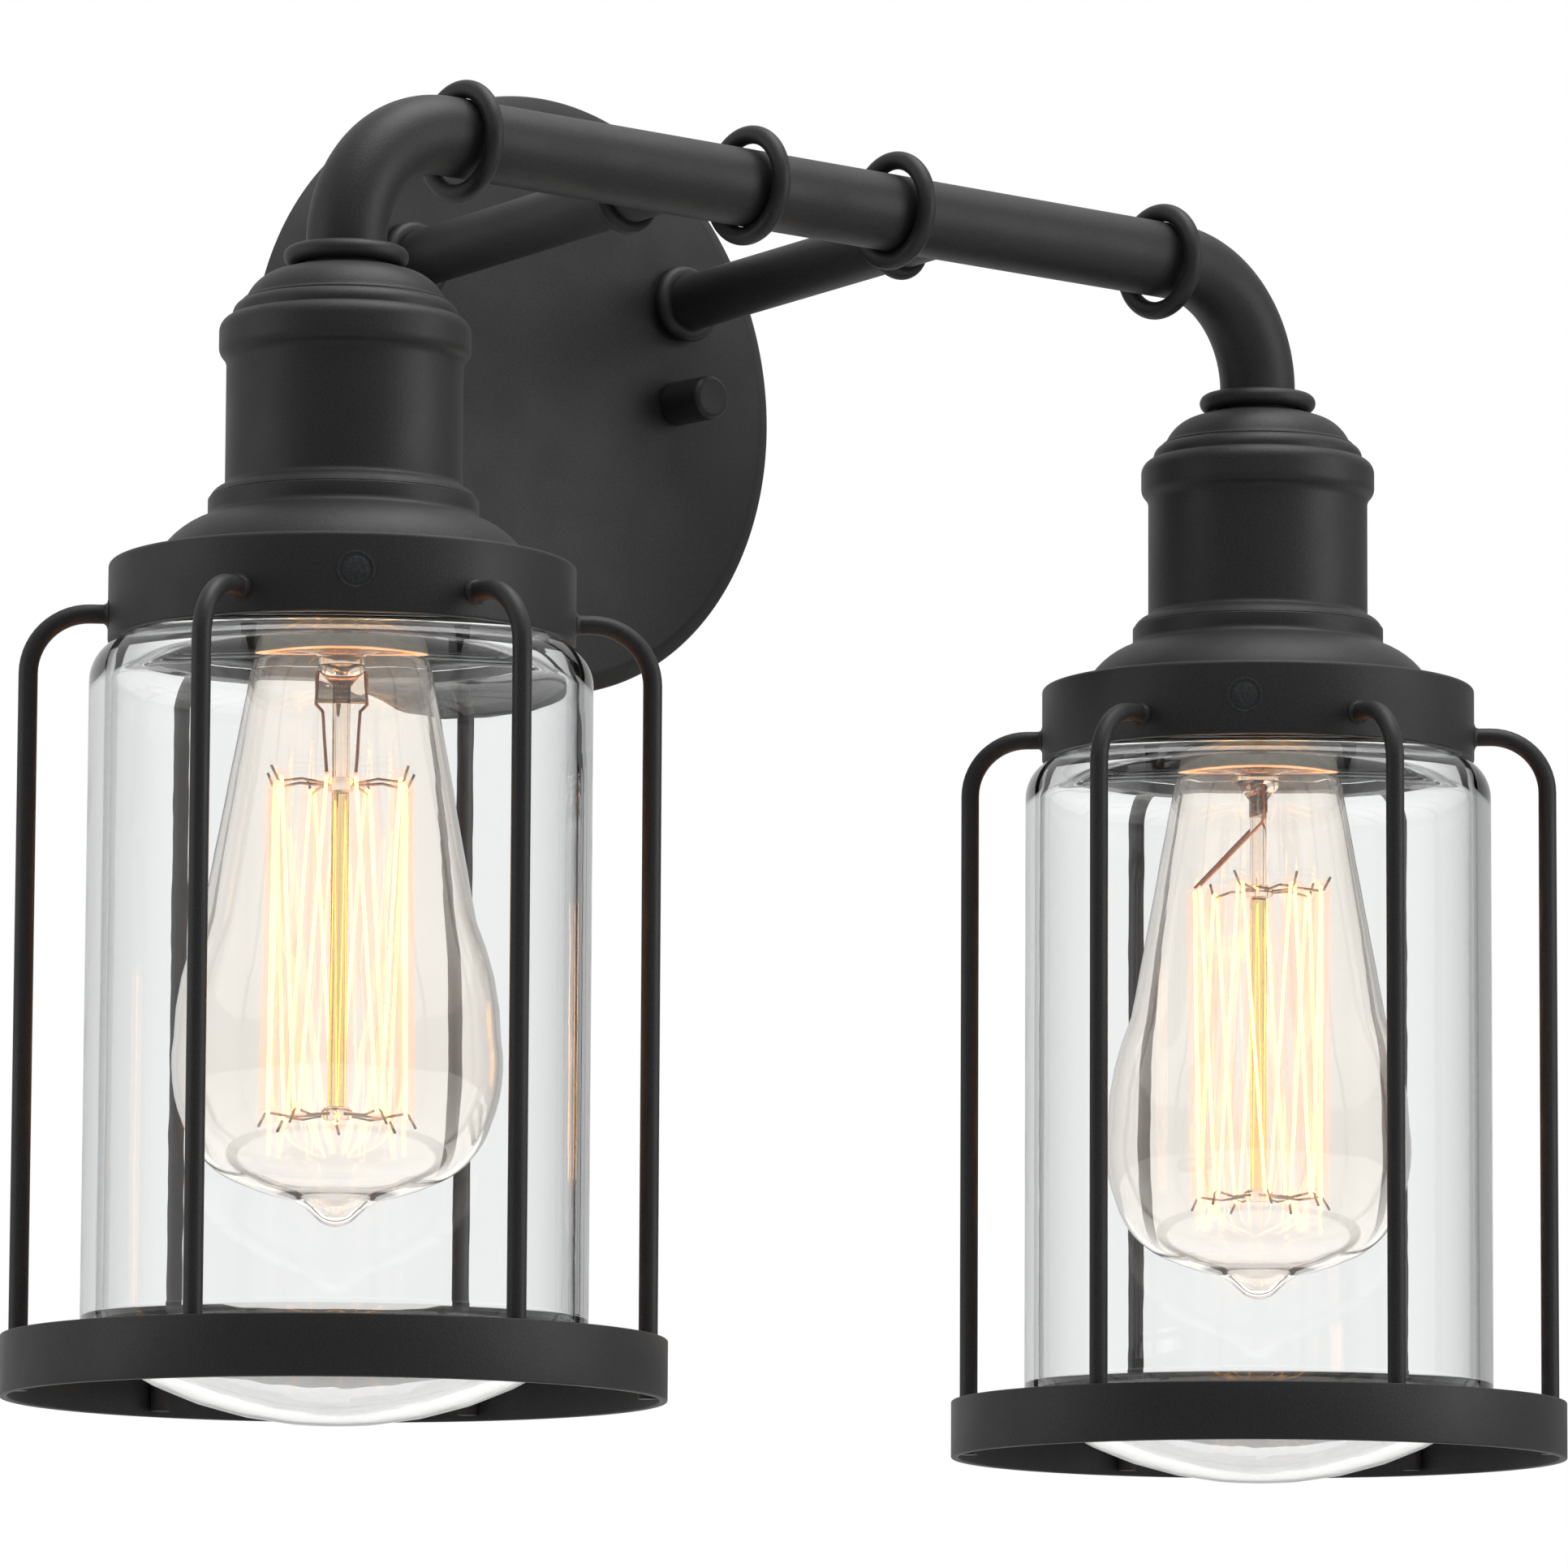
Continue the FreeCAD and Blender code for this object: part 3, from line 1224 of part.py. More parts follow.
def bulb_glass():
    outside = bulb_outline(ZERO)
    inside = bulb_outline(s.bulb_glass)
    corners = [(ZERO, ZERO)]
    for x, z, bend in outside:
        corners.append((x, z, bend, 1) if bend else (x, z))
    corners.append(inside[-1][:2])
    for (x, z, unused), (x_next, z_next, bend) in zip(inside[-2::-1], inside[:0:-1]):
        corners.append((x, z, bend, -1) if bend else (x, z))
    corners.append((ZERO, s.bulb_glass * 2, s.bulb_tip_round, -1))
    for name, side in SIDES:
        body = turned(name + "_bulb_glass", corners)
        place(body, lantern_x(side), at.bar_y, at.bulb_tip)


def bulb_caps():
    top = at.cap_height
    inner = s.cap_root - s.cap_wall
    corners = [(s.cap_crest, ZERO), (s.cap_crest, s.cap_skirt)]
    corners += ridges(s.cap_skirt, s.cap_root, s.cap_crest, s.cap_pitch, s.cap_turns)
    corners += [(s.cap_root, top), (inner, top), (inner, ZERO)]
    for name, side in SIDES:
        body = turned(name + "_bulb_cap", corners)
        place(body, lantern_x(side), at.bar_y, at.holder_rim + at.cap_low)
        insulator = turned(name + "_bulb_insulator", [
            (s.cap_root, ZERO),
            (s.cap_eyelet, s.cap_cone),
            (ZERO, s.cap_cone),
            (ZERO, ZERO),
        ])
        place(insulator, lantern_x(side), at.bar_y, at.holder_rim + at.cap_low + top)
        eyelet = turned(name + "_bulb_eyelet", rod_outline(
            s.cap_eyelet, ZERO, s.eyelet_height))
        place(eyelet, lantern_x(side), at.bar_y,
              at.holder_rim + at.cap_low + top + s.cap_cone)


def bulb_stems():
    """The glass stem: a flare at the cap, a flattened press and a rod with two hubs."""
    half_hub = s.hub_height / 2
    corners = [
        (s.hub_radius, s.lower_hub - half_hub),
        (s.hub_radius, s.lower_hub + half_hub),
        (s.rod_radius, s.lower_hub + half_hub),
        (s.rod_radius, at.upper_hub - half_hub),
        (s.hub_radius, at.upper_hub - half_hub),
        (s.hub_radius, at.upper_hub + half_hub),
        (s.rod_radius, at.upper_hub + half_hub),
        (s.rod_radius, at.press_place + half_hub),
        (s.stem_flare, s.bulb_length),
        (ZERO, s.bulb_length),
        (ZERO, s.lower_hub - half_hub),
    ]
    half_width = s.stem_press_width / 2
    half_depth = s.stem_press_depth / 2
    for name, side in SIDES:
        turn = getattr(s, name + "_press_turn")
        body = turned(name + "_bulb_stem", corners)
        press = new_sketch(body, "XY_Plane", "press", at.press_place)
        draw_outline(press, [(half_width, -half_depth), (half_width, half_depth),
                             (-half_width, half_depth), (-half_width, -half_depth)])
        pad(body, press, s.stem_press_height)
        place(body, lantern_x(side), at.bar_y, at.bulb_tip, (-ALONG_Z, turn))


def round_the_rod(radius, angle, height):
    return vector(radius * math.cos(angle), radius * math.sin(angle), height)


def strand_angle(index):
    """The strands' places round the rod; both ends lie on one side of the press."""
    step = math.radians(FULL_TURN) / (s.filament_strands.number + 1)
    return step * (index + 0.5) - math.radians(RIGHT_ANGLE)


def hooks():
    """Support wires out of both hubs; upper ones bend up and lower ones down."""
    wires = []
    for index in range(1, int(s.filament_strands.number)):
        angle = strand_angle(index)
        upper = index % 2 == 0
        height = at.upper_hub if upper else s.lower_hub
        end = height + s.hook_end * (1 if upper else -1)
        points = [round_the_rod(s.hub_radius, angle, height),
                  round_the_rod(s.hook_radius, angle, height),
                  round_the_rod(s.hook_radius, angle, end)]
        wires.append(tube_along(points, [s.hook_bend.number], s.hook_wire.number))
    return wires


def lead_in_wires():
    wires = []
    last = strand_angle(s.filament_strands.number)
    low = at.upper_hub + s.lead_in_wire * 2
    for sign, angle in ((1, strand_angle(0)), (-1, last)):
        start = s.lead_in_place * sign
        points = [vector(start, ZERO, at.press_place - s.thread_play),
                  vector(start, ZERO, at.press_place - s.lead_in_drop),
                  round_the_rod(s.filament_radius, angle, low)]
        wires.append(tube_along(points, [s.lead_in_bend.number], s.lead_in_wire.number))
    return wires


def filament():
    """One wire that runs up and down between the hooks of the two hubs."""
    over = s.hook_wire + s.filament_wire + s.thread_play
    spread = s.filament_round.number * 1.2 / s.filament_radius.number
    points = [round_the_rod(s.filament_radius, strand_angle(0), at.upper_hub)]
    for index in range(1, int(s.filament_strands.number)):
        angle = strand_angle(index)
        height = at.upper_hub + over if index % 2 == 0 else s.lower_hub - over
        points.append(round_the_rod(s.filament_radius, angle - spread, height))
        points.append(round_the_rod(s.filament_radius, angle + spread, height))
    last = strand_angle(s.filament_strands.number)
    points.append(round_the_rod(s.filament_radius, last, at.upper_hub))
    bends = [s.filament_round.number] * (len(points) - 2)
    return tube_along(points, bends, s.filament_wire.number)


def bulb_wires():
    supports = Part.makeCompound(hooks() + lead_in_wires())
    strands = filament()
    for name, side in SIDES:
        turn = getattr(s, name + "_press_turn")
        for label, shape in (("_filament_supports", supports), ("_filament", strands)):
            feature = shaped(name + label, shape.copy())
            place(feature, lantern_x(side), at.bar_y, at.bulb_tip, (-ALONG_Z, turn))


def build_all():
    fill_sheet()
    work_out_places()
    canopy()
    wall_bracket()
    mounting_studs()
    stud_nuts()
    cap_nuts()
    ground_screw()
    arm_nipples()
    arm_locknuts()
    arms()
    arm_collars()
    crossbar()
    elbows()
    neck_rings()
    bar_rings()
    socket_cups()
    fitters()
    thread_rings()
    band_rivets()
    cage_rings()
    cage_wires()
    jars()
    lampholders()
    screw_shells()
    centre_contacts()
    lamp_nipples()
    cup_locknuts()
    lead_wires()
    wire_connectors()
    ground_wire()
    bulb_glass()
    bulb_caps()
    bulb_stems()
    bulb_wires()


def check_all():
    """Stop if any object failed or any sub-part has no valid shape."""
    doc.recompute()
    for obj in doc.Objects:
        if "Invalid" in obj.State or "Error" in obj.State:
            raise RuntimeError("%s failed: %s" % (obj.Name, obj.State))
    for obj in sub_parts:
        if obj.Shape.isNull() or not obj.Shape.isValid() or not obj.Shape.Solids:
            raise RuntimeError("%s has no valid shape" % obj.Label)


def write_all():
    os.makedirs("parts", exist_ok=True)
    for obj in sub_parts:
        obj.Shape.exportStep("parts/%s.step" % obj.Label)
        print("%-26s solids %d  volume %.1f" % (
            obj.Label, len(obj.Shape.Solids), obj.Shape.Volume))


build_all()
check_all()
write_all()
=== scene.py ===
import math

import bmesh
import bpy
from bpy.props import FloatProperty, FloatVectorProperty, IntProperty, PointerProperty
from bpy.types import Operator, Panel, PropertyGroup
from mathutils import Matrix, Vector, noise


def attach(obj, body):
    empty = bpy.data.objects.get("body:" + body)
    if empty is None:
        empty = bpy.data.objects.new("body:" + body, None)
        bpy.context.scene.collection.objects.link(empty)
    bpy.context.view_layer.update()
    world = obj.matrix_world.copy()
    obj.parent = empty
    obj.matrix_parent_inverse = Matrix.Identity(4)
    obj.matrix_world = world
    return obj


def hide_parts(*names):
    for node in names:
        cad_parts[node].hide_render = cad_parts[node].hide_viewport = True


# A bathroom vanity light: two caged glass lanterns under a bent tube bar. X runs along
# the bar, Y points into the wall, Z points up, and the wall is the plane Y = 0.

bl_info = {
    "name": "Bathroom Vanity Light",
    "version": (1, 0, 0),
    "blender": (4, 5, 0),
    "location": "View3D > Sidebar > Vanity Light",
    "description": "Dresses the packed vanity light with detailed metalwork and glass",
    "category": "Add Mesh",
}

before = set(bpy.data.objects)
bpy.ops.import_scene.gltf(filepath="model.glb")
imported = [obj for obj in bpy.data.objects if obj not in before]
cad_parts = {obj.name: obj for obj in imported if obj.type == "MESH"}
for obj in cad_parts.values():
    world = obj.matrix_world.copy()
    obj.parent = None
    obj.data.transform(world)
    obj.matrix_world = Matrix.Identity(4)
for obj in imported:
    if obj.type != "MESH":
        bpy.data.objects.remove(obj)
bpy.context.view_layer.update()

MM = 0.001
FULL = math.tau
SIDES = (("left", -1), ("right", 1))
QUARTER = math.radians(90)
OUT_OF_WALL = Matrix.Rotation(QUARTER, 4, "X")
# Gaps between pieces: one rests on another, slides over another, or touches its side
REST, PLAY, SLACK = 0.1 * MM, 0.2 * MM, 0.05 * MM
# Points closer than this are one point, and points closer to the axis lie on it
MERGE, ON_AXIS = 1e-7, 1e-6


# Sizes and colours that a user would change

def size(millimetres, description):
    return FloatProperty(description=description, default=millimetres * MM, min=0.0,
                         precision=5, unit="LENGTH")


def angle(degrees, description):
    return FloatProperty(description=description, default=math.radians(degrees),
                         subtype="ANGLE")


def count(number, description):
    return IntProperty(description=description, default=number, min=1)


def linear(code):
    """An sRGB hex value as linear red, green and blue."""
    parts = [int(code[place:place + 2], 16) / 255 for place in (1, 3, 5)]
    return tuple(p / 12.92 if p <= 0.04045 else ((p + 0.055) / 1.055) ** 2.4 for p in parts)


def colour(code, description):
    return FloatVectorProperty(description=description, default=linear(code), min=0.0,
                               max=1.0, size=3, subtype="COLOR")


def named(group):
    """Name each property of a group after its key, such as Canopy radius."""
    for key, entry in group.__annotations__.items():
        entry.keywords["name"] = key.replace("_", " ").capitalize()
    return group


@named
class WallSizes(PropertyGroup):
    canopy_radius: size(65.0, "Outer radius of the canopy at the wall")
    canopy_depth: size(19.0, "Wall face to front face")
    canopy_draft: size(1.0, "How much narrower the rim is at the front")
    canopy_bevel: size(3.6, "Width of the bevel round the front face")
    canopy_bevel_depth: size(1.6, "Depth of that bevel")
    canopy_wall: size(1.5, "Sheet thickness of the canopy")
    stud_spacing: size(73.0, "Mounting studs, centre to centre")
    stud_rise: size(2.0, "Studs above the canopy's middle")
    nut_radius: size(4.7, "Radius of the cap nut")
    nut_length: size(12.2, "Length of the cap nut")
    nut_chamfer: size(0.8, "Chamfer on the cap nut's face")


@named
class BarSizes(PropertyGroup):
    arm_spacing: size(75.0, "The two arms, centre to centre")
    arm_rise: size(23.5, "Arm roots above the canopy's middle")
    arm_reach: size(88.0, "Canopy face to the crossbar's axis")
    arm_radius: size(6.0, "Outer radius of an arm")
    arm_wall: size(1.1, "Wall of an arm")
    collar_radius: size(8.25, "Outer radius of the collars on the arms")
    collar_width: size(3.2, "Width of the collars on the arms")
    collar_setback: size(18.0, "Crossbar's axis to the outer collar")
    bar_rise: size(29.1, "Crossbar's axis above the canopy's middle")
    lantern_spacing: size(250.0, "The two lanterns, centre to centre")
    tube_radius: size(8.0, "Outer radius of the crossbar and the elbows")
    tube_wall: size(1.25, "Wall of the crossbar and the elbows")
    bend_radius: size(25.0, "Radius of the elbows' centre line")
    elbow_leg: size(4.7, "Straight leg under each elbow")
    ring_wire: size(1.9, "Radius of the wire of the rings on the tubes")
    ring_play: size(0.6, "Play between a ring and its tube")
    inner_ring: size(20.0, "Inner rings from the crossbar's middle")
    outer_ring: size(96.0, "Outer rings from the crossbar's middle")


@named
class CupSizes(PropertyGroup):
    cup_height: size(46.8, "Cup's seat to the top of its dome")
    cup_radius: size(23.4, "Outer radius of the socket cup")
    cup_wall: size(1.2, "Sheet thickness of the socket cup")
    cup_skirt: size(3.0, "Length of cup inside the fitter's collar")
    cup_bore: size(5.1, "Radius of the hole for the lamp nipple")
    foot_height: size(2.15, "Height of the flange at the cup's foot")
    foot_reach: size(3.0, "How far that flange stands out")
    foot_round: size(3.9, "Arc radius of the flange's edge")
    foot_fillet: size(1.25, "Fillet radius between flange and cup")
    foot_ease: size(0.8, "How far that fillet stands out")
    bead_low: size(26.4, "Foot of the wide bead above the cup's seat")
    bead_height: size(9.95, "Height of the wide bead")
    bead_reach: size(1.5, "How far the wide bead stands out")
    bead_round: size(3.1, "Edge radius of the wide bead")
    bead_ease: size(3.7, "Height of the curve from cup to bead")
    bead_sweep: size(2.7, "Arc radius of each half of that curve")
    small_height: size(3.45, "Height of the narrow bead and its step")
    small_inset: size(2.6, "Narrow bead's side inside the wide bead")
    small_round: size(2.8, "Edge radius of the narrow bead")
    small_side: size(0.65, "Straight side of the narrow bead")
    step_width: size(0.7, "Width of the step at the dome's foot")
    step_height: size(0.6, "Height of that step")
    dome_radius: size(19.8, "Radius of the dome at its foot")
    dome_round: size(9.2, "Arc radius of the dome's side")
    dome_knee: size(13.5, "Radius where the dome's side turns flatter")
    dome_rise: size(1.3, "Rise of the dome above that knee")
    dome_crown: size(30.0, "Arc radius of the dome's crown")
    dome_top: size(8.6, "Radius of the flat on top of the dome")
    fitter_height: size(28.7, "Band's lower edge to the fitter's top edge")
    band_radius: size(46.0, "Outer radius of the band")
    band_height: size(15.6, "Height of the band")
    band_round: size(1.0, "Edge radius on top of the band")
    ledge_width: size(8.8, "Band's outer face to the foot of the flare")
    ledge_wall: size(1.6, "Thickness of the ledge")
    flare_round: size(16.5, "Arc radius of the flare")
    collar_reach: size(3.3, "How far the fitter's collar stands out")
    collar_height: size(2.6, "Height of that collar")
    collar_fillet: size(1.6, "Fillet radius under the collar")
    collar_ease: size(1.2, "How far that fillet stands out")
    collar_drop: size(1.7, "Height of that fillet")
    fitter_wall: size(2.0, "Wall of the fitter")
    rivet_count: count(3, "Rivets round each band")
    rivet_radius: size(3.7, "Radius of a rivet's flush head")
    rivet_rise: size(8.0, "Rivets above the band's lower edge")
    rivet_turn: angle(31.0, "Rivets from a cage wire")
    rivet_groove: size(0.5, "Width and depth of the ring round a rivet")


@named
class CageSizes(PropertyGroup):
    drop: size(148.5, "Band's lower edge to the bottom of the cage")
    ring_radius: size(65.0, "Outer radius of the cage ring")
    ring_height: size(12.0, "Height of the cage ring's strip")
    ring_wall: size(1.6, "Thickness of that strip")
    wire: size(1.9, "Radius of the cage wires")
    wires: count(6, "Wires in each cage")
    wire_rise: size(5.0, "Wires enter this far above the band's edge")
    wire_bend: size(12.0, "Bend radius of the cage wires")
    wire_foot: size(1.0, "Wire ends above the cage's bottom")
    weld_reach: size(0.9, "Weld fillet round a wire at the band")
    weld_lumps: size(0.16, "Height of the lumps on a weld")
    left_turn: angle(4.5, "First wire of the left cage")
    right_turn: angle(16.5, "First wire of the right cage")


@named
class JarSizes(PropertyGroup):
    radius: size(49.5, "Outer radius of the glass jar")
    wall: size(3.0, "Wall of the glass jar")
    dip: size(5.0, "Jar's lowest point below the cage ring")
    dome_edge: size(43.0, "Radius where the domed bottom ends")
    dome_rise: size(11.5, "Rise of the domed bottom at that radius")
    dome_round: size(86.0, "Arc radius of the domed bottom")
    corner: size(10.0, "Arc radius of the lower corner")
    side_start: size(20.0, "Straight side starts this far up")
    shoulder: size(8.5, "Arc radius of the shoulder")
    neck_inset: size(7.0, "Band's outer face to the jar's neck")
    neck_height: size(13.1, "Height of the neck above the shoulder")
    gap: size(0.5, "Jar's shoulder into the band")
    thread_depth: size(1.4, "Depth of the jar's thread")
    thread_pitch: size(5.0, "Pitch of the jar's thread")
    thread_ridges: count(2, "Ridges of the thread on the neck")
    edge: size(0.5, "Fire-polished edge of the jar")


@named
class LampSizes(PropertyGroup):
    rim_rise: size(1.5, "Lampholder's rim above the band's lower edge")
    holder_radius: size(17.5, "Outer radius of the lampholder")
    holder_height: size(40.0, "Height of the lampholder's body")
    roof_middle: size(2.0, "Lampholder's roof at its hole")
    roof_side: size(4.0, "Lampholder's roof at its wall")
    boss_radius: size(8.5, "Radius of the boss on the lampholder")
    boss_height: size(6.0, "Height of that boss")
    boss_bore: size(5.0, "Radius of the hole in the boss")
    cap_play: size(0.85, "Play between lamp cap and lampholder")
    bulb_length: size(117.0, "Tip to the lamp cap's skirt")
    bulb_radius: size(32.0, "Largest radius of the bulb")
    cap_crest: size(13.1, "Radius of the lamp cap's thread crests")
    cap_root: size(12.2, "Radius of the lamp cap's thread roots")
    cap_pitch: size(3.63, "Pitch of the lamp cap's thread")
    cap_turns: count(4, "Turns of the lamp cap's thread")
    cap_skirt: size(2.4, "Plain skirt of the lamp cap")
    cap_sink: size(2.0, "Middle of that skirt above the lampholder's rim")
    cap_wall: size(0.5, "Sheet thickness of the lamp cap")
    cap_edge: size(0.3, "Rolled edge of the lamp cap")
    hub_height: size(2.5, "Height of a hub on the glass rod")
    hub_radius: size(3.1, "Radius of the two hubs on the rod")
    upper_hub: size(86.5, "Upper hub above the tip")
    lower_hub: size(22.0, "Lower hub above the tip")
    rod_radius: size(1.75, "Radius of the glass rod")
    press_place: size(102.6, "Lower end of the flattened press above the tip")
    press_width: size(10.4, "Width of the flattened press")
    press_depth: size(1.8, "Depth of the flattened press")
    press_height: size(6.4, "Height of the press")
    stem_tube: size(4.5, "Radius of the tube above the press")
    stem_wall: size(0.8, "Wall of that tube")
    stem_round: size(0.2, "Softened edges of the stem")
    hook_reach: size(14.3, "Reach of the support hooks")
    hook_wire: size(0.28, "Radius of the support wires")
    hook_end: size(2.9, "Height of a hook's bent end")
    hook_lean: size(1.1, "How far a hook's bent end leans out")
    lead_wire: size(0.34, "Radius of the lead-in wires")
    coil_reach: size(13.5, "Radius of the filament's cage")
    coil_wire: size(0.36, "Radius of the coiled filament")
    glow_reach: size(2.0, "Radius of the glow round a strand")
    strands: count(14, "Strands of the filament")
    left_turn: angle(38.0, "Turn of the left lamp")
    right_turn: angle(120.0, "Turn of the right lamp")


@named
class Finishes(PropertyGroup):
    coat: colour("#2b2b2c", "Main tone of the black coat")
    coat_low: colour("#222223", "Tone between the grains of the coat")
    coat_grain: size(0.42, "Size of the coat's grain")
    coat_drift: size(16.667, "Length over which the coat's sheen drifts")
    rivet_coat: colour("#31363a", "Bluish tone of the rivets' coat")
    rivet_grain: size(0.7, "Size of the pebbles on a rivet's head")
    jar_face: colour("#fcfdfd", "Tone of the jar's glass seen straight on")
    jar_edge: colour("#868b8d", "Tone of the jar's glass seen along its wall")
    lamp_face: colour("#fdfaf6", "Tone of the lamp's glass seen straight on")
    lamp_edge: colour("#b3a899", "Tone of the lamp's glass seen along its wall")
    # Painted light: the stem's warm face tone and amber edge tone stand in for the lit
    # filament's light in its clear glass
    stem: colour("#fff3e8", "Tone of the stem's glass beside the light")
    stem_edge: colour("#dda47c", "Tone of the stem's glass along its wall")
    # Painted light: the yellow of the rod between the hubs stands in for the filament's
    # light falling on it
    rod: colour("#f6dfa0", "Tone of the glass rod beside the filament")
    porcelain: colour("#ded6c6", "Glaze of the porcelain lampholder")
    glow: colour("#ffb056", "Colour of the lit filament")
    coil_ripple: size(1.1111, "Length of the ripple on the filament")
    halo_drift: size(8.3333, "Length over which the halo changes")
    halo: colour("#ffbe92", "Colour of the glow round a strand")
    lamp_glow: colour("#ffede1", "Tint of the lit lamp's light in its glass")
    glow_strength: FloatProperty(description="Strength of the lit filament", default=10.0,
                                 min=0.0)
    brass: colour("#c9a25a", "Brass of the screw shells and contacts")
    zinc: colour("#a9adb0", "Zinc plate on the hidden steel pieces")
    floor: colour("#e9e8e6", "Pale floor under the light")
    edge: size(0.35, "Softened edge left by the coat")


# Nodes

def node(tree, kind, inputs=(), output=0, **values):
    """Add a node with its settings and links, and give back one of its outputs."""
    made = tree.nodes.new("ShaderNode" + kind)
    for name, value in values.items():
        setattr(made, name, value)
    for name, value in dict(inputs).items():
        if isinstance(value, bpy.types.NodeSocket):
            tree.links.new(value, made.inputs[name])
        else:
            made.inputs[name].default_value = value
    return made.outputs[output] if made.outputs else None


def new_finish(name):
    """An empty material and its node tree."""
    made = bpy.data.materials.new(name)
    made.use_nodes = True
    made.node_tree.nodes.clear()
    return made, made.node_tree


def opaque(tone):
    return (*tone, 1.0)


# Finishes

# Most values of a noise lie in the first span, and the second gives clearer grains
NOISE_SPAN = {"From Min": 0.3, "From Max": 0.7}
SHARP_SPAN = {"From Min": 0.35, "From Max": 0.65}
# Depth of the fine relief that its making leaves on metal and glaze
FINE_RELIEF = 0.01 * MM
# Strength of the light scattered in a lit lamp's glass, and of the fringe round a strand
GLASS_GLOW, HALO_GLOW = 0.022, 1.6


def mottle(tree, place, grain, low, high, detail=2.0, span=SHARP_SPAN):
    """Blend two tones by a noise whose features are as large as the grain, and give
    back the tone and the noise."""
    grains = node(tree, "TexNoise", {
        "Vector": place, "Scale": 1.0 / grain, "Detail": detail}, "Fac")
    share = node(tree, "MapRange", {**span, "Value": grains}, "Result")
    tone = node(tree, "Mix", {0: share, 6: opaque(low), 7: opaque(high)}, 2,
                data_type="RGBA")
    return tone, grains


def powder_coat(finish, name, high, grain, depth):
    """Polyester powder coat, sprayed and baked, so its grains catch the light and its
    sheen drifts slowly from place to place."""
    made, tree = new_finish(name)
    place = node(tree, "TexCoord", output="Object")
    tone, pits = mottle(tree, place, grain, finish.coat_low, high)
    cloud = node(tree, "TexNoise", {
        "Vector": place, "Scale": 1.0 / finish.coat_drift, "Detail": 3.0}, "Fac")
    sheen = node(tree, "MapRange", {
        **NOISE_SPAN, "Value": cloud, "To Min": 0.46, "To Max": 0.56}, "Result")
    bumps = node(tree, "Bump", {"Height": pits, "Distance": depth, "Strength": 0.55},
                 "Normal")
    shader = node(tree, "BsdfPrincipled", {
        "Base Color": tone, "Roughness": sheen, "IOR": 1.5, "Specular IOR Level": 0.3,
        "Normal": bumps})
    node(tree, "OutputMaterial", {"Surface": shader})
    return made


def clear_glass(name, face, edge, start, ior, wave, depth, glow=(0, 0, 0)):
    """Clear glass that darkens where the eye looks along its wall, with the slow waves
    of pressed or blown glass. A lit lamp's glass scatters a little of its light."""
    made, tree = new_finish(name)
    place = node(tree, "TexCoord", output="Object")
    waves = node(tree, "TexNoise", {"Vector": place, "Scale": 1.0 / wave, "Detail": 1.0},
                 "Fac")
    facing = node(tree, "LayerWeight", {"Blend": 0.25}, "Facing")
    along = node(tree, "MapRange", {"Value": facing, "From Min": start, "From Max": 1.0},
                 "Result")
    tone = node(tree, "Mix", {0: along, 6: opaque(face), 7: opaque(edge)}, 2,
                data_type="RGBA")
    bumps = node(tree, "Bump", {"Height": waves, "Distance": depth, "Strength": 1.0},
                 "Normal")
    shader = node(tree, "BsdfPrincipled", {
        "Base Color": tone, "Roughness": 0.0, "IOR": ior, "Transmission Weight": 1.0,
        "Emission Color": opaque(glow), "Emission Strength": GLASS_GLOW,
        "Normal": bumps})
    node(tree, "OutputMaterial", {"Surface": shader})
    return made


def metal(name, low, high, grain, roughness, stretch=(1.0, 1.0, 1.0)):
    """Bare or plated metal, whose fine marks from its making break up the shine."""
    made, tree = new_finish(name)
    place = node(tree, "Mapping", {
        "Vector": node(tree, "TexCoord", output="Object"), "Scale": stretch})
    tone, marks = mottle(tree, place, grain, low, high, 3.0, NOISE_SPAN)
    shine = node(tree, "MapRange", {
        **NOISE_SPAN, "Value": marks, "To Min": roughness * 0.8,
        "To Max": roughness * 1.25}, "Result")
    bumps = node(tree, "Bump", {"Height": marks, "Distance": FINE_RELIEF, "Strength": 0.5},
                 "Normal")
    shader = node(tree, "BsdfPrincipled", {
        "Base Color": tone, "Roughness": shine, "Metallic": 1.0, "Normal": bumps})
    node(tree, "OutputMaterial", {"Surface": shader})
    return made


def glaze(name, low, high, grain, roughness):
    """Glazed, moulded or extruded stuff with a faint orange-peel surface."""
    made, tree = new_finish(name)
    place = node(tree, "TexCoord", output="Object")
    tone, peel = mottle(tree, place, grain, low, high)
    shine = node(tree, "MapRange", {
        **NOISE_SPAN, "Value": peel, "To Min": roughness * 0.85,
        "To Max": roughness * 1.2}, "Result")
    bumps = node(tree, "Bump", {"Height": peel, "Distance": FINE_RELIEF, "Strength": 0.5},
                 "Normal")
    shader = node(tree, "BsdfPrincipled", {
        "Base Color": tone, "Roughness": shine, "IOR": 1.5, "Normal": bumps})
    node(tree, "OutputMaterial", {"Surface": shader})
    return made


def lit_tungsten(finish):
    """Coiled tungsten, lit. The coil's pitch is too fine to show, so its ripple is drawn
    about five times as coarse."""
    made, tree = new_finish("lit_tungsten_coil")
    place = node(tree, "TexCoord", output="Object")
    hotter = [min(1.0, part * 1.12) for part in finish.glow]
    warm, _ = mottle(tree, place, finish.coil_ripple, finish.glow, hotter, 1.0, NOISE_SPAN)
    shader = node(tree, "BsdfPrincipled", {
        "Base Color": opaque(linear("#3b3a38")), "Metallic": 1.0, "Roughness": 0.4,
        "Emission Color": warm, "Emission Strength": finish.glow_strength})
    node(tree, "OutputMaterial", {"Surface": shader})
    return made


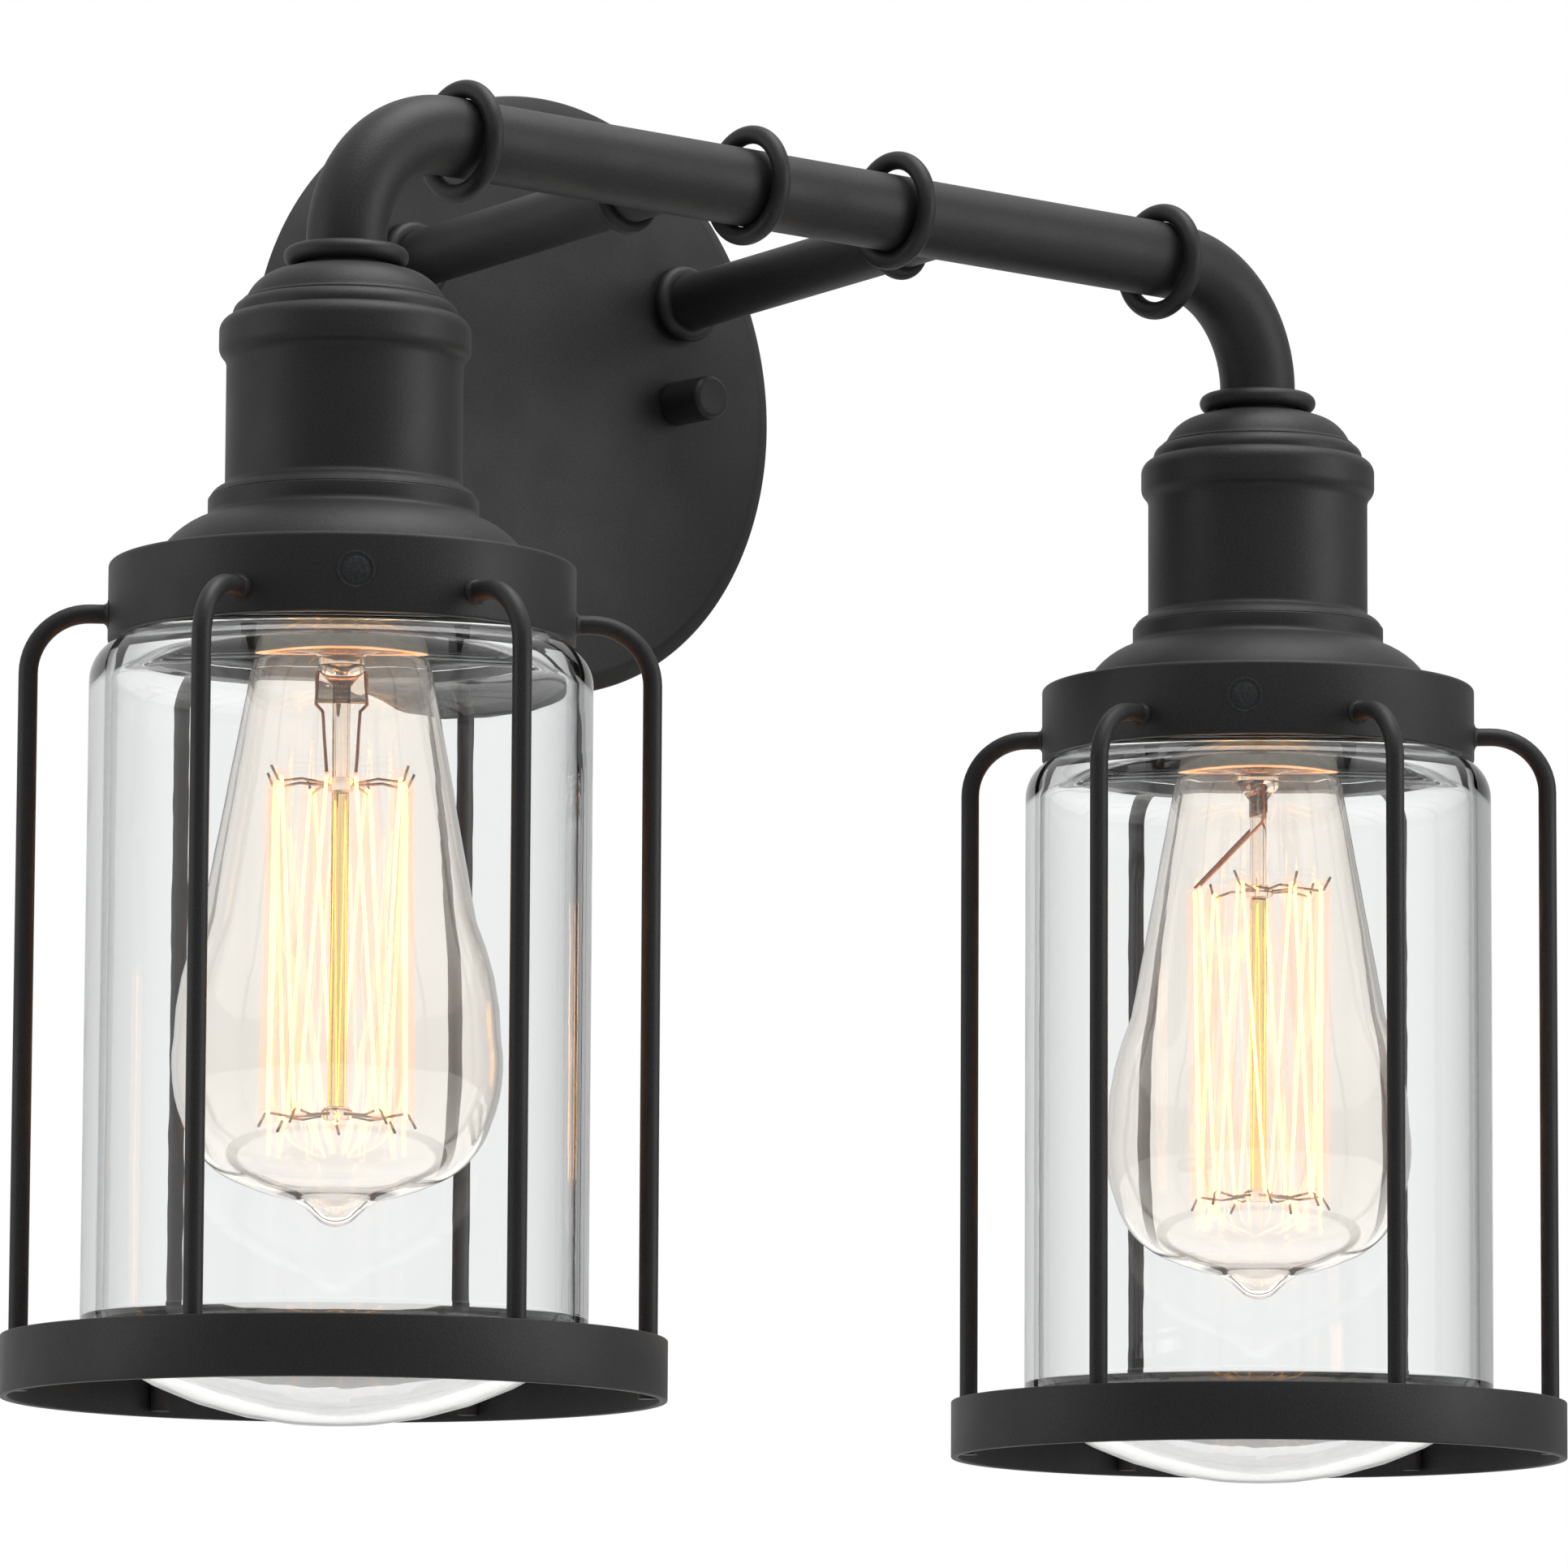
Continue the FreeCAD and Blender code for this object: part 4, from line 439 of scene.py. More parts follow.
def filament_halo(finish):
    """The peach fringe that the eye sees round each hot strand, uneven along it."""
    made, tree = new_finish("glow_round_the_filament")
    place = node(tree, "TexCoord", output="Object")
    drift = node(tree, "TexNoise", {
        "Vector": place, "Scale": 1.0 / finish.halo_drift, "Detail": 1.0}, "Fac")
    veil = node(tree, "MapRange", {
        **NOISE_SPAN, "Value": drift, "To Min": 0.09, "To Max": 0.15}, "Result")
    shader = node(tree, "BsdfPrincipled", {
        "Base Color": opaque((0, 0, 0)), "Roughness": 1.0, "Specular IOR Level": 0.0,
        "Emission Color": opaque(finish.halo), "Emission Strength": HALO_GLOW,
        "Alpha": veil})
    node(tree, "OutputMaterial", {"Surface": shader})
    return made


# Metals and glazes: material, darker and paler tone, grain in mm, roughness and stretch.
# A tone is an sRGB value or the name of one in the finishes.
METALS = {
    # Zinc-plated sheet steel: a dull, cool grey with a cloudy shine
    "zinc_plate": ("zinc_plated_steel", "#8f9396", "zinc", 1.5, 0.32),
    # Turned aluminium: fine lines run round the ring
    "thread_ring_metal": ("turned_aluminium", "#a3a5a8", "#bcbec0", 0.4, 0.3, (1, 1, 12)),
    # Stamped brass: yellow and smooth, with broad soft marks
    "contact_brass": ("stamped_brass", "#a8843f", "brass", 2, 0.28),
    # Rolled brass sheet: paler than the stamped brass, with a soft shine
    "lamp_cap_metal": ("rolled_brass_lamp_cap", "#b08f4c", "#d8b877", 1.2, 0.3),
    # Tin solder: a satin grey drop
    "solder": ("tin_solder", "#9b9c9e", "#b9babc", 1.0, 0.4),
    # Drawn molybdenum: dark and brownish, dulled by the heat
    "support_wire": ("drawn_molybdenum_wire", "#6c655f", "#8d8379", 0.8, 0.35),
    # Copper-clad wire: pinkish brown, with a dull shine
    "lead_in_wire": ("copper_clad_lead_in_wire", "#a86a48", "#d09468", 0.8, 0.4),
    # Dyed zinc plate: the green lies over a metal shine
    "green_screw": ("green_dyed_zinc_screw", "#1f6b3a", "#2f8a4e", 1.0, 0.35),
    # Bare copper: warm and bright, with faint tarnish
    "ground_copper": ("bare_copper_wire", "#a8603a", "#c77a4d", 1.0, 0.3),
}
GLAZES = {
    # Glazed porcelain: warm white, smooth and wet-looking
    "holder_porcelain": ("glazed_white_porcelain", "#cfc6b4", "porcelain", 3, 0.18),
    # Black glass: nearly black, with a hard gloss
    "lamp_cap_insulator": ("black_glass_insulator", "#0d0d10", "#1a1a1f", 1.5, 0.15),
    # Extruded plastic: black with a soft sheen
    "lead_insulation": ("extruded_wire_insulation", "#1b1b1c", "#2a2a2c", 1.5, 0.45),
    # Moulded plastic: plain orange with a low gloss
    "connector_plastic": ("moulded_orange_connector", "#c8560f", "#e06a1a", 1.0, 0.4),
}
# Glasses: material, tone straight on, tone along the wall, where the darkening starts,
# index of refraction, and length and depth of the waves in mm.
GLASSES = {
    # Pressed soda-lime glass: thick, so its sides show as grey lines
    "jar_glass": ("pressed_soda_lime_glass", "jar_face", "jar_edge", 0.16, 1.5, 9, 0.02),
    # Blown glass: thin and faintly warm, with long waves
    "lamp_glass": ("blown_lamp_glass", "lamp_face", "lamp_edge", 0.35, 1.5, 14, 0.02),
    # Drawn glass with short waves; its warm and amber tones are painted light from the lit
    # filament
    "stem_glass": ("drawn_stem_glass", "stem", "stem_edge", 0.1, 1.52, 2, 0.03),
    # The same rod between the hubs, its yellow face and edge tones painted light from the
    # filament
    "painted_lit_rod_glass": ("stem_glass_beside_the_filament", "rod", "#d8a860", 0.35, 1.52, 2,
                      0.03),
}
# Coats: material, paler tone, grain and relief in mm
COATS = {
    # Fine grains that scatter the light, on a near-neutral black
    "powder_coat": ("textured_black_powder_coat", "coat", "coat_grain", 0.09),
    # The same coat over a peened head: coarser, bluish pebbles
    "rivet_coat": ("pebbled_black_powder_coat", "rivet_coat", "rivet_grain", 0.35),
}


def make_finish(finish, key):
    """A new material from the row of its finish."""
    def tone(code):
        return linear(code) if code.startswith("#") else getattr(finish, code)

    for rows, maker in ((METALS, metal), (GLAZES, glaze)):
        if key in rows:
            name, low, high, grain, roughness, *stretch = rows[key]
            return maker(name, tone(low), tone(high), grain * MM, roughness, *stretch)
    if key in GLASSES:
        name, face, edge, start, ior, wave, depth = GLASSES[key]
        glow = finish.lamp_glow if key == "lamp_glass" else (0, 0, 0)
        return clear_glass(name, tone(face), tone(edge), start, ior, wave * MM, depth * MM,
                           glow)
    if key in COATS:
        name, high, grain, depth = COATS[key]
        return powder_coat(finish, name, tone(high), getattr(finish, grain), depth * MM)
    return {"tungsten": lit_tungsten, "filament_halo": filament_halo}[key](finish)


def finish_for(context, key):
    """The material of a finish, made on first use."""
    names = dict(context.scene.get("vanity_finishes") or {})
    if key not in names:
        names[key] = make_finish(sizes(context, "finish"), key).name
        context.scene["vanity_finishes"] = names
    return bpy.data.materials[names[key]]


# Mesh helpers

def only(geometry, kind):
    """The vertices or the edges of what an operator gives back."""
    return [part for part in geometry if isinstance(part, kind)]


def arc_centre(start, end, radius, turn):
    """Centre and angle of the short arc from start to end in the XZ plane."""
    chord = end - start
    half = chord.length / 2
    height = math.sqrt(max(radius * radius - half * half, 0.0))
    aside = Vector((-chord.z, 0.0, chord.x)).normalized() * height * turn
    return (start + end) / 2 + aside, 2 * math.asin(min(1.0, half / radius))


def draw_outline(mesh, corners, closed, arc_step=math.radians(6)):
    """Draw an outline in the XZ plane. A corner is (x, z) after a straight edge, or
    (x, z, radius, turn) after an arc; a turn of 1 goes against the clock."""
    first = last = mesh.verts.new((corners[0][0], 0.0, corners[0][1]))
    steps = list(corners[1:]) + ([corners[0]] if closed else [])
    for index, corner in enumerate(steps):
        final = closed and index == len(steps) - 1
        place = Vector((corner[0], 0.0, corner[1]))
        if len(corner) == 4:
            centre, sweep = arc_centre(last.co.copy(), place, corner[2], corner[3])
            made = bmesh.ops.spin(mesh, geom=[last], cent=centre, axis=(0, -1, 0),
                                  angle=sweep * corner[3],
                                  steps=max(2, math.ceil(sweep / arc_step)))
            last = only(made["geom_last"], bmesh.types.BMVert)[0]
            continue
        following = first if final else mesh.verts.new(place)
        mesh.edges.new((last, following))
        last = following
    bmesh.ops.remove_doubles(mesh, verts=mesh.verts[:], dist=MERGE)


def soften_corners(mesh, amount, least=math.radians(22)):
    """Round every sharp corner of an outline before it is turned."""
    sharp = []
    for vert in mesh.verts:
        if len(vert.link_edges) != 2 or vert.co.x < ON_AXIS:
            continue
        ways = [(edge.other_vert(vert).co - vert.co) for edge in vert.link_edges]
        if min(way.length for way in ways) < amount * 1.3:
            continue
        if math.pi - ways[0].angle(ways[1]) > least:
            sharp.append(vert)
    if sharp and amount > 0:
        bmesh.ops.bevel(mesh, geom=sharp, offset=amount, offset_type="OFFSET", segments=3,
                        profile=0.5, affect="VERTICES", material=-1)


def backwards(corners):
    """The same outline drawn from its other end."""
    found = [corners[-1][:2]]
    for corner, before in zip(corners[:0:-1], corners[-2::-1]):
        arc = (corner[2], -corner[3]) if len(corner) == 4 else ()
        found.append((*before[:2], *arc))
    return found


def turned(corners, closed=True, edge=0.0, steps=128):
    """Turn an outline about Z."""
    mesh = bmesh.new()
    draw_outline(mesh, corners, closed)
    soften_corners(mesh, edge)
    bmesh.ops.spin(mesh, geom=mesh.verts[:] + mesh.edges[:], cent=(0, 0, 0),
                   axis=(0, 0, 1), angle=FULL, steps=steps, use_merge=True)
    bmesh.ops.remove_doubles(mesh, verts=mesh.verts[:], dist=MERGE)
    bmesh.ops.recalc_face_normals(mesh, faces=mesh.faces[:])
    return mesh


def hoop(radius, wire, steps=96, around=32):
    """A closed ring of round wire about Z."""
    mesh = bmesh.new()
    bmesh.ops.create_circle(mesh, segments=around, radius=wire,
                            matrix=Matrix.Translation((radius, 0, 0)) @ OUT_OF_WALL)
    bmesh.ops.spin(mesh, geom=mesh.verts[:] + mesh.edges[:], cent=(0, 0, 0),
                   axis=(0, 0, 1), angle=FULL, steps=steps, use_merge=True)
    bmesh.ops.recalc_face_normals(mesh, faces=mesh.faces[:])
    return mesh


def run_on(mesh, edges, way):
    """Carry an open ring of edges straight on, and give back the new ring."""
    made = bmesh.ops.extrude_edge_only(mesh, edges=edges)["geom"]
    bmesh.ops.translate(mesh, vec=way, verts=only(made, bmesh.types.BMVert))
    return [edge for edge in only(made, bmesh.types.BMEdge) if len(edge.link_faces) == 1]


def bend_on(mesh, edges, centre, axis, sweep, steps):
    """Carry an open ring of edges round a bend, and give back the new ring."""
    verts = list({v for e in edges for v in e.verts})
    made = bmesh.ops.spin(mesh, geom=verts + edges, cent=centre, axis=axis,
                          angle=sweep, steps=steps)
    return only(made["geom_last"], bmesh.types.BMEdge)


def close_ends(mesh):
    rims = [edge for edge in mesh.edges if len(edge.link_faces) == 1]
    bmesh.ops.holes_fill(mesh, edges=rims, sides=0)
    bmesh.ops.recalc_face_normals(mesh, faces=mesh.faces[:])


def copy_round(mesh, number, first=0.0):
    """Repeat what the mesh holds in even steps round Z, the first one turned."""
    seed = mesh.verts[:] + mesh.edges[:] + mesh.faces[:]
    for index in range(1, number):
        made = bmesh.ops.duplicate(mesh, geom=seed)["geom"]
        bmesh.ops.rotate(mesh, verts=only(made, bmesh.types.BMVert), cent=(0, 0, 0),
                         matrix=Matrix.Rotation(FULL / number * index, 3, "Z"))
    bmesh.ops.rotate(mesh, verts=mesh.verts[:], cent=(0, 0, 0),
                     matrix=Matrix.Rotation(first, 3, "Z"))


def joined(meshes):
    """One mesh out of several placed ones."""
    whole = bmesh.new()
    for part, place in meshes:
        bmesh.ops.transform(part, matrix=place, verts=part.verts[:])
        copy = bpy.data.meshes.new("part")
        part.to_mesh(copy)
        whole.from_mesh(copy)
        part.free()
        bpy.data.meshes.remove(copy)
    return whole


def sizes(context, *groups):
    """The scene's groups of sizes by their short names."""
    found = [getattr(context.scene, "vanity_" + group) for group in groups]
    return found if len(found) > 1 else found[0]


def add_piece(context, name, mesh, body, finish, nodes=(), place=None, smooth=40.0,
              second=None):
    """Make a piece of the light from a mesh, let it ride, and give it its finish."""
    if place is not None:
        bmesh.ops.transform(mesh, matrix=place, verts=mesh.verts[:])
    data = bpy.data.meshes.new(name)
    mesh.to_mesh(data)
    mesh.free()
    data.shade_smooth()
    data.set_sharp_from_angle(angle=math.radians(smooth))
    piece = bpy.data.objects.new(name, data)
    context.scene.collection.objects.link(piece)
    for key in (finish, second):
        if key:
            data.materials.append(finish_for(context, key))
    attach(piece, body)
    if nodes:
        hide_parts(*nodes)


def lantern(context, side, height=0.0):
    """The place of a lantern's axis at a height."""
    bar, wall = sizes(context, "bar", "wall")
    reach = -(wall.canopy_depth + bar.arm_reach)
    return Matrix.Translation((bar.lantern_spacing / 2 * side, reach, height))


def heights(context):
    """Heights of the lantern's pieces, from the bar down."""
    bar, cup, cage, jar, lamp = sizes(context, "bar", "cup", "cage", "jar", "lamp")
    found = {"cup_top": bar.bar_rise - bar.bend_radius - bar.elbow_leg}
    found["seat"] = found["cup_top"] - cup.cup_height
    found["band"] = found["seat"] - cup.fitter_height
    found["cage"] = found["band"] - cage.drop
    found["jar"] = found["cage"] - jar.dip
    found["rim"] = found["band"] + lamp.rim_rise
    found["cap"] = found["rim"] + lamp.cap_sink - lamp.cap_skirt / 2
    found["tip"] = found["cap"] - lamp.bulb_length
    return found


def add_pair(context, piece, outline, solid, level, finish, rides=None, smooth=40.0,
             **turning):
    """Turn the left and the right piece of a kind on the lanterns' axes. They ride on
    the wall's fixture, or on the body that is named."""
    for name, side in SIDES:
        add_piece(context, f"{name}_{piece}", turned(outline, **turning),
                  f"{name}_{rides}" if rides else "fixture", finish, [f"{name}_{solid}"],
                  lantern(context, side, heights(context)[level]), smooth)


class PieceOperator(Operator):
    bl_options = {"REGISTER", "UNDO"}


class VANITY_OT_canopy(PieceOperator):
    """Spun steel canopy with a bevelled front face"""
    bl_idname = "vanity.canopy"
    bl_label = "Canopy"

    def execute(self, context):
        wall, finish = sizes(context, "wall", "finish")
        rim = wall.canopy_radius - wall.canopy_draft
        face = rim - wall.canopy_bevel
        shoulder = wall.canopy_depth - wall.canopy_bevel_depth
        inside = wall.canopy_depth - wall.canopy_wall
        mesh = turned([
            (0, inside),
            (face - wall.canopy_wall / 2, inside),
            (rim - wall.canopy_wall, shoulder - wall.canopy_wall / 2),
            (wall.canopy_radius - wall.canopy_wall, 0),
            (wall.canopy_radius, 0),
            (rim, shoulder),
            (face, wall.canopy_depth),
            (0, wall.canopy_depth),
        ], closed=False, edge=finish.edge * 1.6, steps=192)
        add_piece(context, "canopy_shell", mesh, "fixture", "powder_coat", ["canopy"],
                  OUT_OF_WALL)
        return {"FINISHED"}


class VANITY_OT_cap_nuts(PieceOperator):
    """Round cap nuts that hold the canopy to its studs"""
    bl_idname = "vanity.cap_nuts"
    bl_label = "Cap nuts"

    def execute(self, context):
        wall, finish = sizes(context, "wall", "finish")
        for name, side in SIDES:
            mesh = turned([
                (0, 0),
                (wall.nut_radius, 0),
                (wall.nut_radius, wall.nut_length - wall.nut_chamfer),
                (wall.nut_radius - wall.nut_chamfer, wall.nut_length),
                (0, wall.nut_length),
            ], closed=False, edge=finish.edge, steps=64)
            place = Matrix.Translation((wall.stud_spacing / 2 * side,
                                        -wall.canopy_depth - REST, wall.stud_rise))
            add_piece(context, name + "_round_cap_nut", mesh, name + "_cap_nut",
                      "powder_coat", [name + "_cap_nut"], place @ OUT_OF_WALL)
        return {"FINISHED"}


class VANITY_OT_arms(PieceOperator):
    """Tube arms between the canopy and the crossbar, with their collars"""
    bl_idname = "vanity.arms"
    bl_label = "Arms and collars"

    def execute(self, context):
        wall, bar, finish = sizes(context, "wall", "bar", "finish")
        rise = bar.bar_rise - bar.arm_rise
        # An arm ends inside the crossbar's tube
        end = math.hypot(rise, bar.arm_reach) - bar.tube_radius * 0.55
        tilt = math.atan2(rise, bar.arm_reach)
        half = bar.collar_width / 2
        foot = bar.collar_radius * rise / bar.arm_reach + REST
        collars = {"foot": foot, "outer": bar.arm_reach - bar.collar_setback - half}
        made = {key: [] for key in collars}
        for name, side in SIDES:
            place = Matrix.Translation((bar.arm_spacing / 2 * side, -wall.canopy_depth,
                                        bar.arm_rise))
            place = place @ Matrix.Rotation(QUARTER - tilt, 4, "X")
            bore = bar.arm_radius - bar.arm_wall
            tube = turned([(bar.arm_radius, PLAY), (bar.arm_radius, end), (bore, end),
                           (bore, PLAY)], steps=96)
            add_piece(context, name + "_arm_tube", tube, "fixture", "powder_coat",
                      [name + "_arm"], place)
            for key, low in collars.items():
                flat = bar.collar_radius - half
                inner = bar.arm_radius - PLAY
                ring = turned([
                    (flat, low),
                    (bar.collar_radius, low + half, half, 1),
                    (flat, low + bar.collar_width, half, 1),
                    (inner, low + bar.collar_width),
                    (inner, low),
                ], edge=finish.edge / 2, steps=96)
                made[key].append((ring, place))
        add_piece(context, "arm_foot_collars", joined(made["foot"]), "fixture",
                  "powder_coat", ["arm_base_collars"])
        add_piece(context, "arm_outer_collars", joined(made["outer"]), "fixture",
                  "powder_coat", ["arm_collars"])
        return {"FINISHED"}


class VANITY_OT_crossbar(PieceOperator):
    """Crossbar tube, its two elbows and the wire rings round them"""
    bl_idname = "vanity.crossbar"
    bl_label = "Crossbar and rings"

    def execute(self, context):
        bar, wall = sizes(context, "bar", "wall")
        reach = -(wall.canopy_depth + bar.arm_reach)
        half = bar.lantern_spacing / 2 - bar.bend_radius
        bore = bar.tube_radius - bar.tube_wall
        tube = turned([(bar.tube_radius, -half), (bar.tube_radius, half),
                       (bore, half), (bore, -half)], steps=96)
        along = Matrix.Translation((0, reach, bar.bar_rise))
        along = along @ Matrix.Rotation(QUARTER, 4, "Y")
        add_piece(context, "crossbar_tube", tube, "fixture", "powder_coat", ["crossbar"],
                  along)
        top = heights(context)["cup_top"]
        for name, side in SIDES:
            mesh = bmesh.new()
            bmesh.ops.create_circle(mesh, segments=64, radius=bar.tube_radius)
            edges = run_on(mesh, mesh.edges[:], (0, 0, bar.elbow_leg))
            edges = bend_on(mesh, edges, (bar.bend_radius, 0, bar.elbow_leg), (0, 1, 0),
                            QUARTER, 32)
            bmesh.ops.remove_doubles(mesh, verts=mesh.verts[:], dist=MERGE)
            close_ends(mesh)
            turn = Matrix.Rotation(0.0 if side < 0 else math.pi, 4, "Z")
            add_piece(context, name + "_bent_tube", mesh, "fixture", "powder_coat",
                      [name + "_elbow"], lantern(context, side, top) @ turn)
        radius = bar.tube_radius + bar.ring_play + bar.ring_wire
        for name, side in SIDES:
            add_piece(context, name + "_neck_hoop", hoop(radius, bar.ring_wire), "fixture",
                      "powder_coat", [name + "_neck_ring"],
                      lantern(context, side, top + bar.ring_wire))
        lean = bar.ring_play - SLACK
        places = ((-bar.outer_ring, -lean), (-bar.inner_ring, lean),
                  (bar.inner_ring, lean), (bar.outer_ring, -lean))
        hoops = [(hoop(radius, bar.ring_wire), Matrix.Translation((x, 0, offset)) @ along)
                 for x, offset in places]
        add_piece(context, "crossbar_hoops", joined(hoops), "fixture", "powder_coat",
                  ["bar_rings"])
        return {"FINISHED"}


class VANITY_OT_socket_cups(PieceOperator):
    """Spun socket cups with a flanged foot, a wide and a narrow bead and a dome"""
    bl_idname = "vanity.socket_cups"
    bl_label = "Socket cups"

    def execute(self, context):
        cup, finish = sizes(context, "cup", "finish")
        radius, wall, sweep = cup.cup_radius, cup.cup_wall, cup.bead_sweep
        foot_top = cup.foot_height
        wide = radius + cup.bead_reach
        bead_top = cup.bead_low + cup.bead_height
        narrow = wide - cup.small_inset
        step_top = bead_top + cup.small_height
        step_low = step_top - cup.step_height
        step = cup.dome_radius + cup.step_width
        knee = cup.cup_height - cup.dome_rise
        add_pair(context, "spun_cup", [
            (radius, -cup.cup_skirt),
            (radius, REST),
            (radius + cup.foot_reach, REST),
            (radius + cup.foot_ease, foot_top, cup.foot_round, 1),
            (radius, foot_top + cup.foot_fillet, cup.foot_fillet, -1),
            (radius, cup.bead_low),
            (radius + cup.bead_reach / 2, cup.bead_low + cup.bead_ease / 2, sweep, -1),
            (wide, cup.bead_low + cup.bead_ease, sweep, 1),
            (wide, bead_top - cup.bead_round),
            (narrow, bead_top, cup.bead_round, 1),
            (narrow, bead_top + cup.small_side),
            (step + wall / 4, step_low, cup.small_round, 1),
            (step, step_low),
            (step, step_top),
            (cup.dome_radius, step_top),
            (cup.dome_knee, knee, cup.dome_round, 1),
            (cup.dome_top, cup.cup_height, cup.dome_crown, 1),
            (cup.cup_bore, cup.cup_height),
            (cup.cup_bore, cup.cup_height - wall),
            (cup.dome_top, cup.cup_height - wall),
            (cup.dome_knee - wall / 4, knee - wall, cup.dome_crown, -1),
            (cup.dome_radius - wall, step_low, cup.dome_round - wall, -1),
            (cup.dome_radius - wall, bead_top - wall),
            (radius - wall, bead_top - wall * 2),
            (radius - wall, -cup.cup_skirt),
        ], "socket_cup", "seat", "powder_coat", edge=finish.edge, steps=160)
        return {"FINISHED"}


class VANITY_OT_fitters(PieceOperator):
    """Fitters: a flared collar, a ledge and the band that holds jar and cage"""
    bl_idname = "vanity.fitters"
    bl_label = "Fitters"

    def execute(self, context):
        cup, finish = sizes(context, "cup", "finish")
        radius, top, wall = cup.band_radius, cup.fitter_height, cup.fitter_wall
        ledge = radius - cup.ledge_width
        ledge_low = cup.band_height - cup.ledge_wall
        collar = cup.cup_radius + cup.collar_reach
        collar_low = top - cup.collar_height
        bore = cup.cup_radius + PLAY
        add_pair(context, "band_fitter", [
            (radius, 0),
            (radius, cup.band_height - cup.band_round),
            (radius - cup.band_round, cup.band_height, cup.band_round, 1),
            (ledge, cup.band_height),
            (collar + cup.collar_ease, collar_low - cup.collar_drop, cup.flare_round, 1),
            (collar, collar_low, cup.collar_fillet, -1),
            (collar, top),
            (bore, top),
            (bore, top - cup.cup_skirt - wall),
            (ledge - wall, ledge_low, cup.flare_round - wall, -1),
            (radius - wall, ledge_low),
            (radius - wall, 0),
        ], "fitter", "band", "powder_coat", edge=finish.edge, steps=192)
        return {"FINISHED"}


class VANITY_OT_rivets(PieceOperator):
    """Flush rivet heads in the band, each in a thin ring groove"""
    bl_idname = "vanity.rivets"
    bl_label = "Band rivets"

    def execute(self, context):
        cup, cage = sizes(context, "cup", "cage")
        groove = cup.rivet_groove
        rim = cup.rivet_radius - groove
        flush = groove * 0.1
        for name, side in SIDES:
            rivet = turned([
                (0, -cup.fitter_wall),
                (cup.rivet_radius, -cup.fitter_wall),
                (cup.rivet_radius, flush),
                (rim, flush),
                (rim, -groove),
                (rim - groove, -groove),
                (rim - groove * 1.2, flush),
                (0, groove * 0.3),
            ], closed=False, edge=groove / 5, steps=48)
            out = Matrix.Translation((0, -cup.band_radius, 0)) @ OUT_OF_WALL
            bmesh.ops.transform(rivet, matrix=out, verts=rivet.verts[:])
            start = getattr(cage, name + "_turn") + cup.rivet_turn
            copy_round(rivet, cup.rivet_count, -start)
            height = heights(context)["band"] + cup.rivet_rise
            add_piece(context, name + "_rivet_heads", rivet, "fixture", "rivet_coat",
                      [name + "_band_rivets"], lantern(context, side, height))
        return {"FINISHED"}


# How many lumps a weld has to the metre
WELD_GRAIN = 0.9 / MM


class VANITY_OT_cages(PieceOperator):
    """Cages: a strip ring that hangs from bent round wires"""
    bl_idname = "vanity.cages"
    bl_label = "Cages"

    def execute(self, context):
        cup, cage, finish = sizes(context, "cup", "cage", "finish")
        out = cage.ring_radius - cage.ring_wall - SLACK - cage.wire
        top = cage.drop + cage.wire_rise
        start = cup.band_radius - cup.fitter_wall + PLAY
        bottom = heights(context)["cage"]
        for name, side in SIDES:
            inner = cage.ring_radius - cage.ring_wall
            ring = turned([(cage.ring_radius, 0), (cage.ring_radius, cage.ring_height),
                           (inner, cage.ring_height), (inner, 0)],
                          edge=finish.edge, steps=224)
            add_piece(context, name + "_strip_ring", ring, "fixture", "powder_coat",
                      [name + "_cage_ring"], lantern(context, side, bottom))
            wires = bmesh.new()
            lift = Matrix.Translation((0, -out, cage.wire_foot))
            bmesh.ops.create_circle(wires, segments=28, radius=cage.wire, matrix=lift)
            edges = run_on(wires, wires.edges[:],
                           (0, 0, top - cage.wire_bend - cage.wire_foot))
            edges = bend_on(wires, edges, (0, -out + cage.wire_bend, top - cage.wire_bend),
                            (1, 0, 0), -QUARTER, 14)
            run_on(wires, edges, (0, out - cage.wire_bend - start, 0))
            bmesh.ops.remove_doubles(wires, verts=wires.verts[:], dist=MERGE)
            close_ends(wires)
            face = Matrix.Translation((0, -cup.band_radius, top)) @ OUT_OF_WALL
            wires = joined([(wires, Matrix()), (self.weld(cage), face)])
            copy_round(wires, cage.wires, -getattr(cage, name + "_turn"))
            add_piece(context, name + "_bent_wires", wires, "fixture", "powder_coat",
                      [name + "_cage_wires"], lantern(context, side, bottom))
        return {"FINISHED"}

    def weld(self, cage):
        """The rough fillet that is left where a wire is welded into the band."""
        wire, reach = cage.wire, cage.weld_reach
        mesh = turned([
            (wire * 0.9, -reach / 2),
            (wire + reach, -reach / 2),
            (wire + reach, reach / 9),
            (wire, reach, reach, -1),
            (wire * 0.9, reach),
        ], steps=40)
        for vert in mesh.verts:
            lump = noise.noise(vert.co * WELD_GRAIN) * cage.weld_lumps
            if vert.co.z > 0:
                vert.co += Vector((vert.co.x, vert.co.y, 0)).normalized() * lump
        return mesh


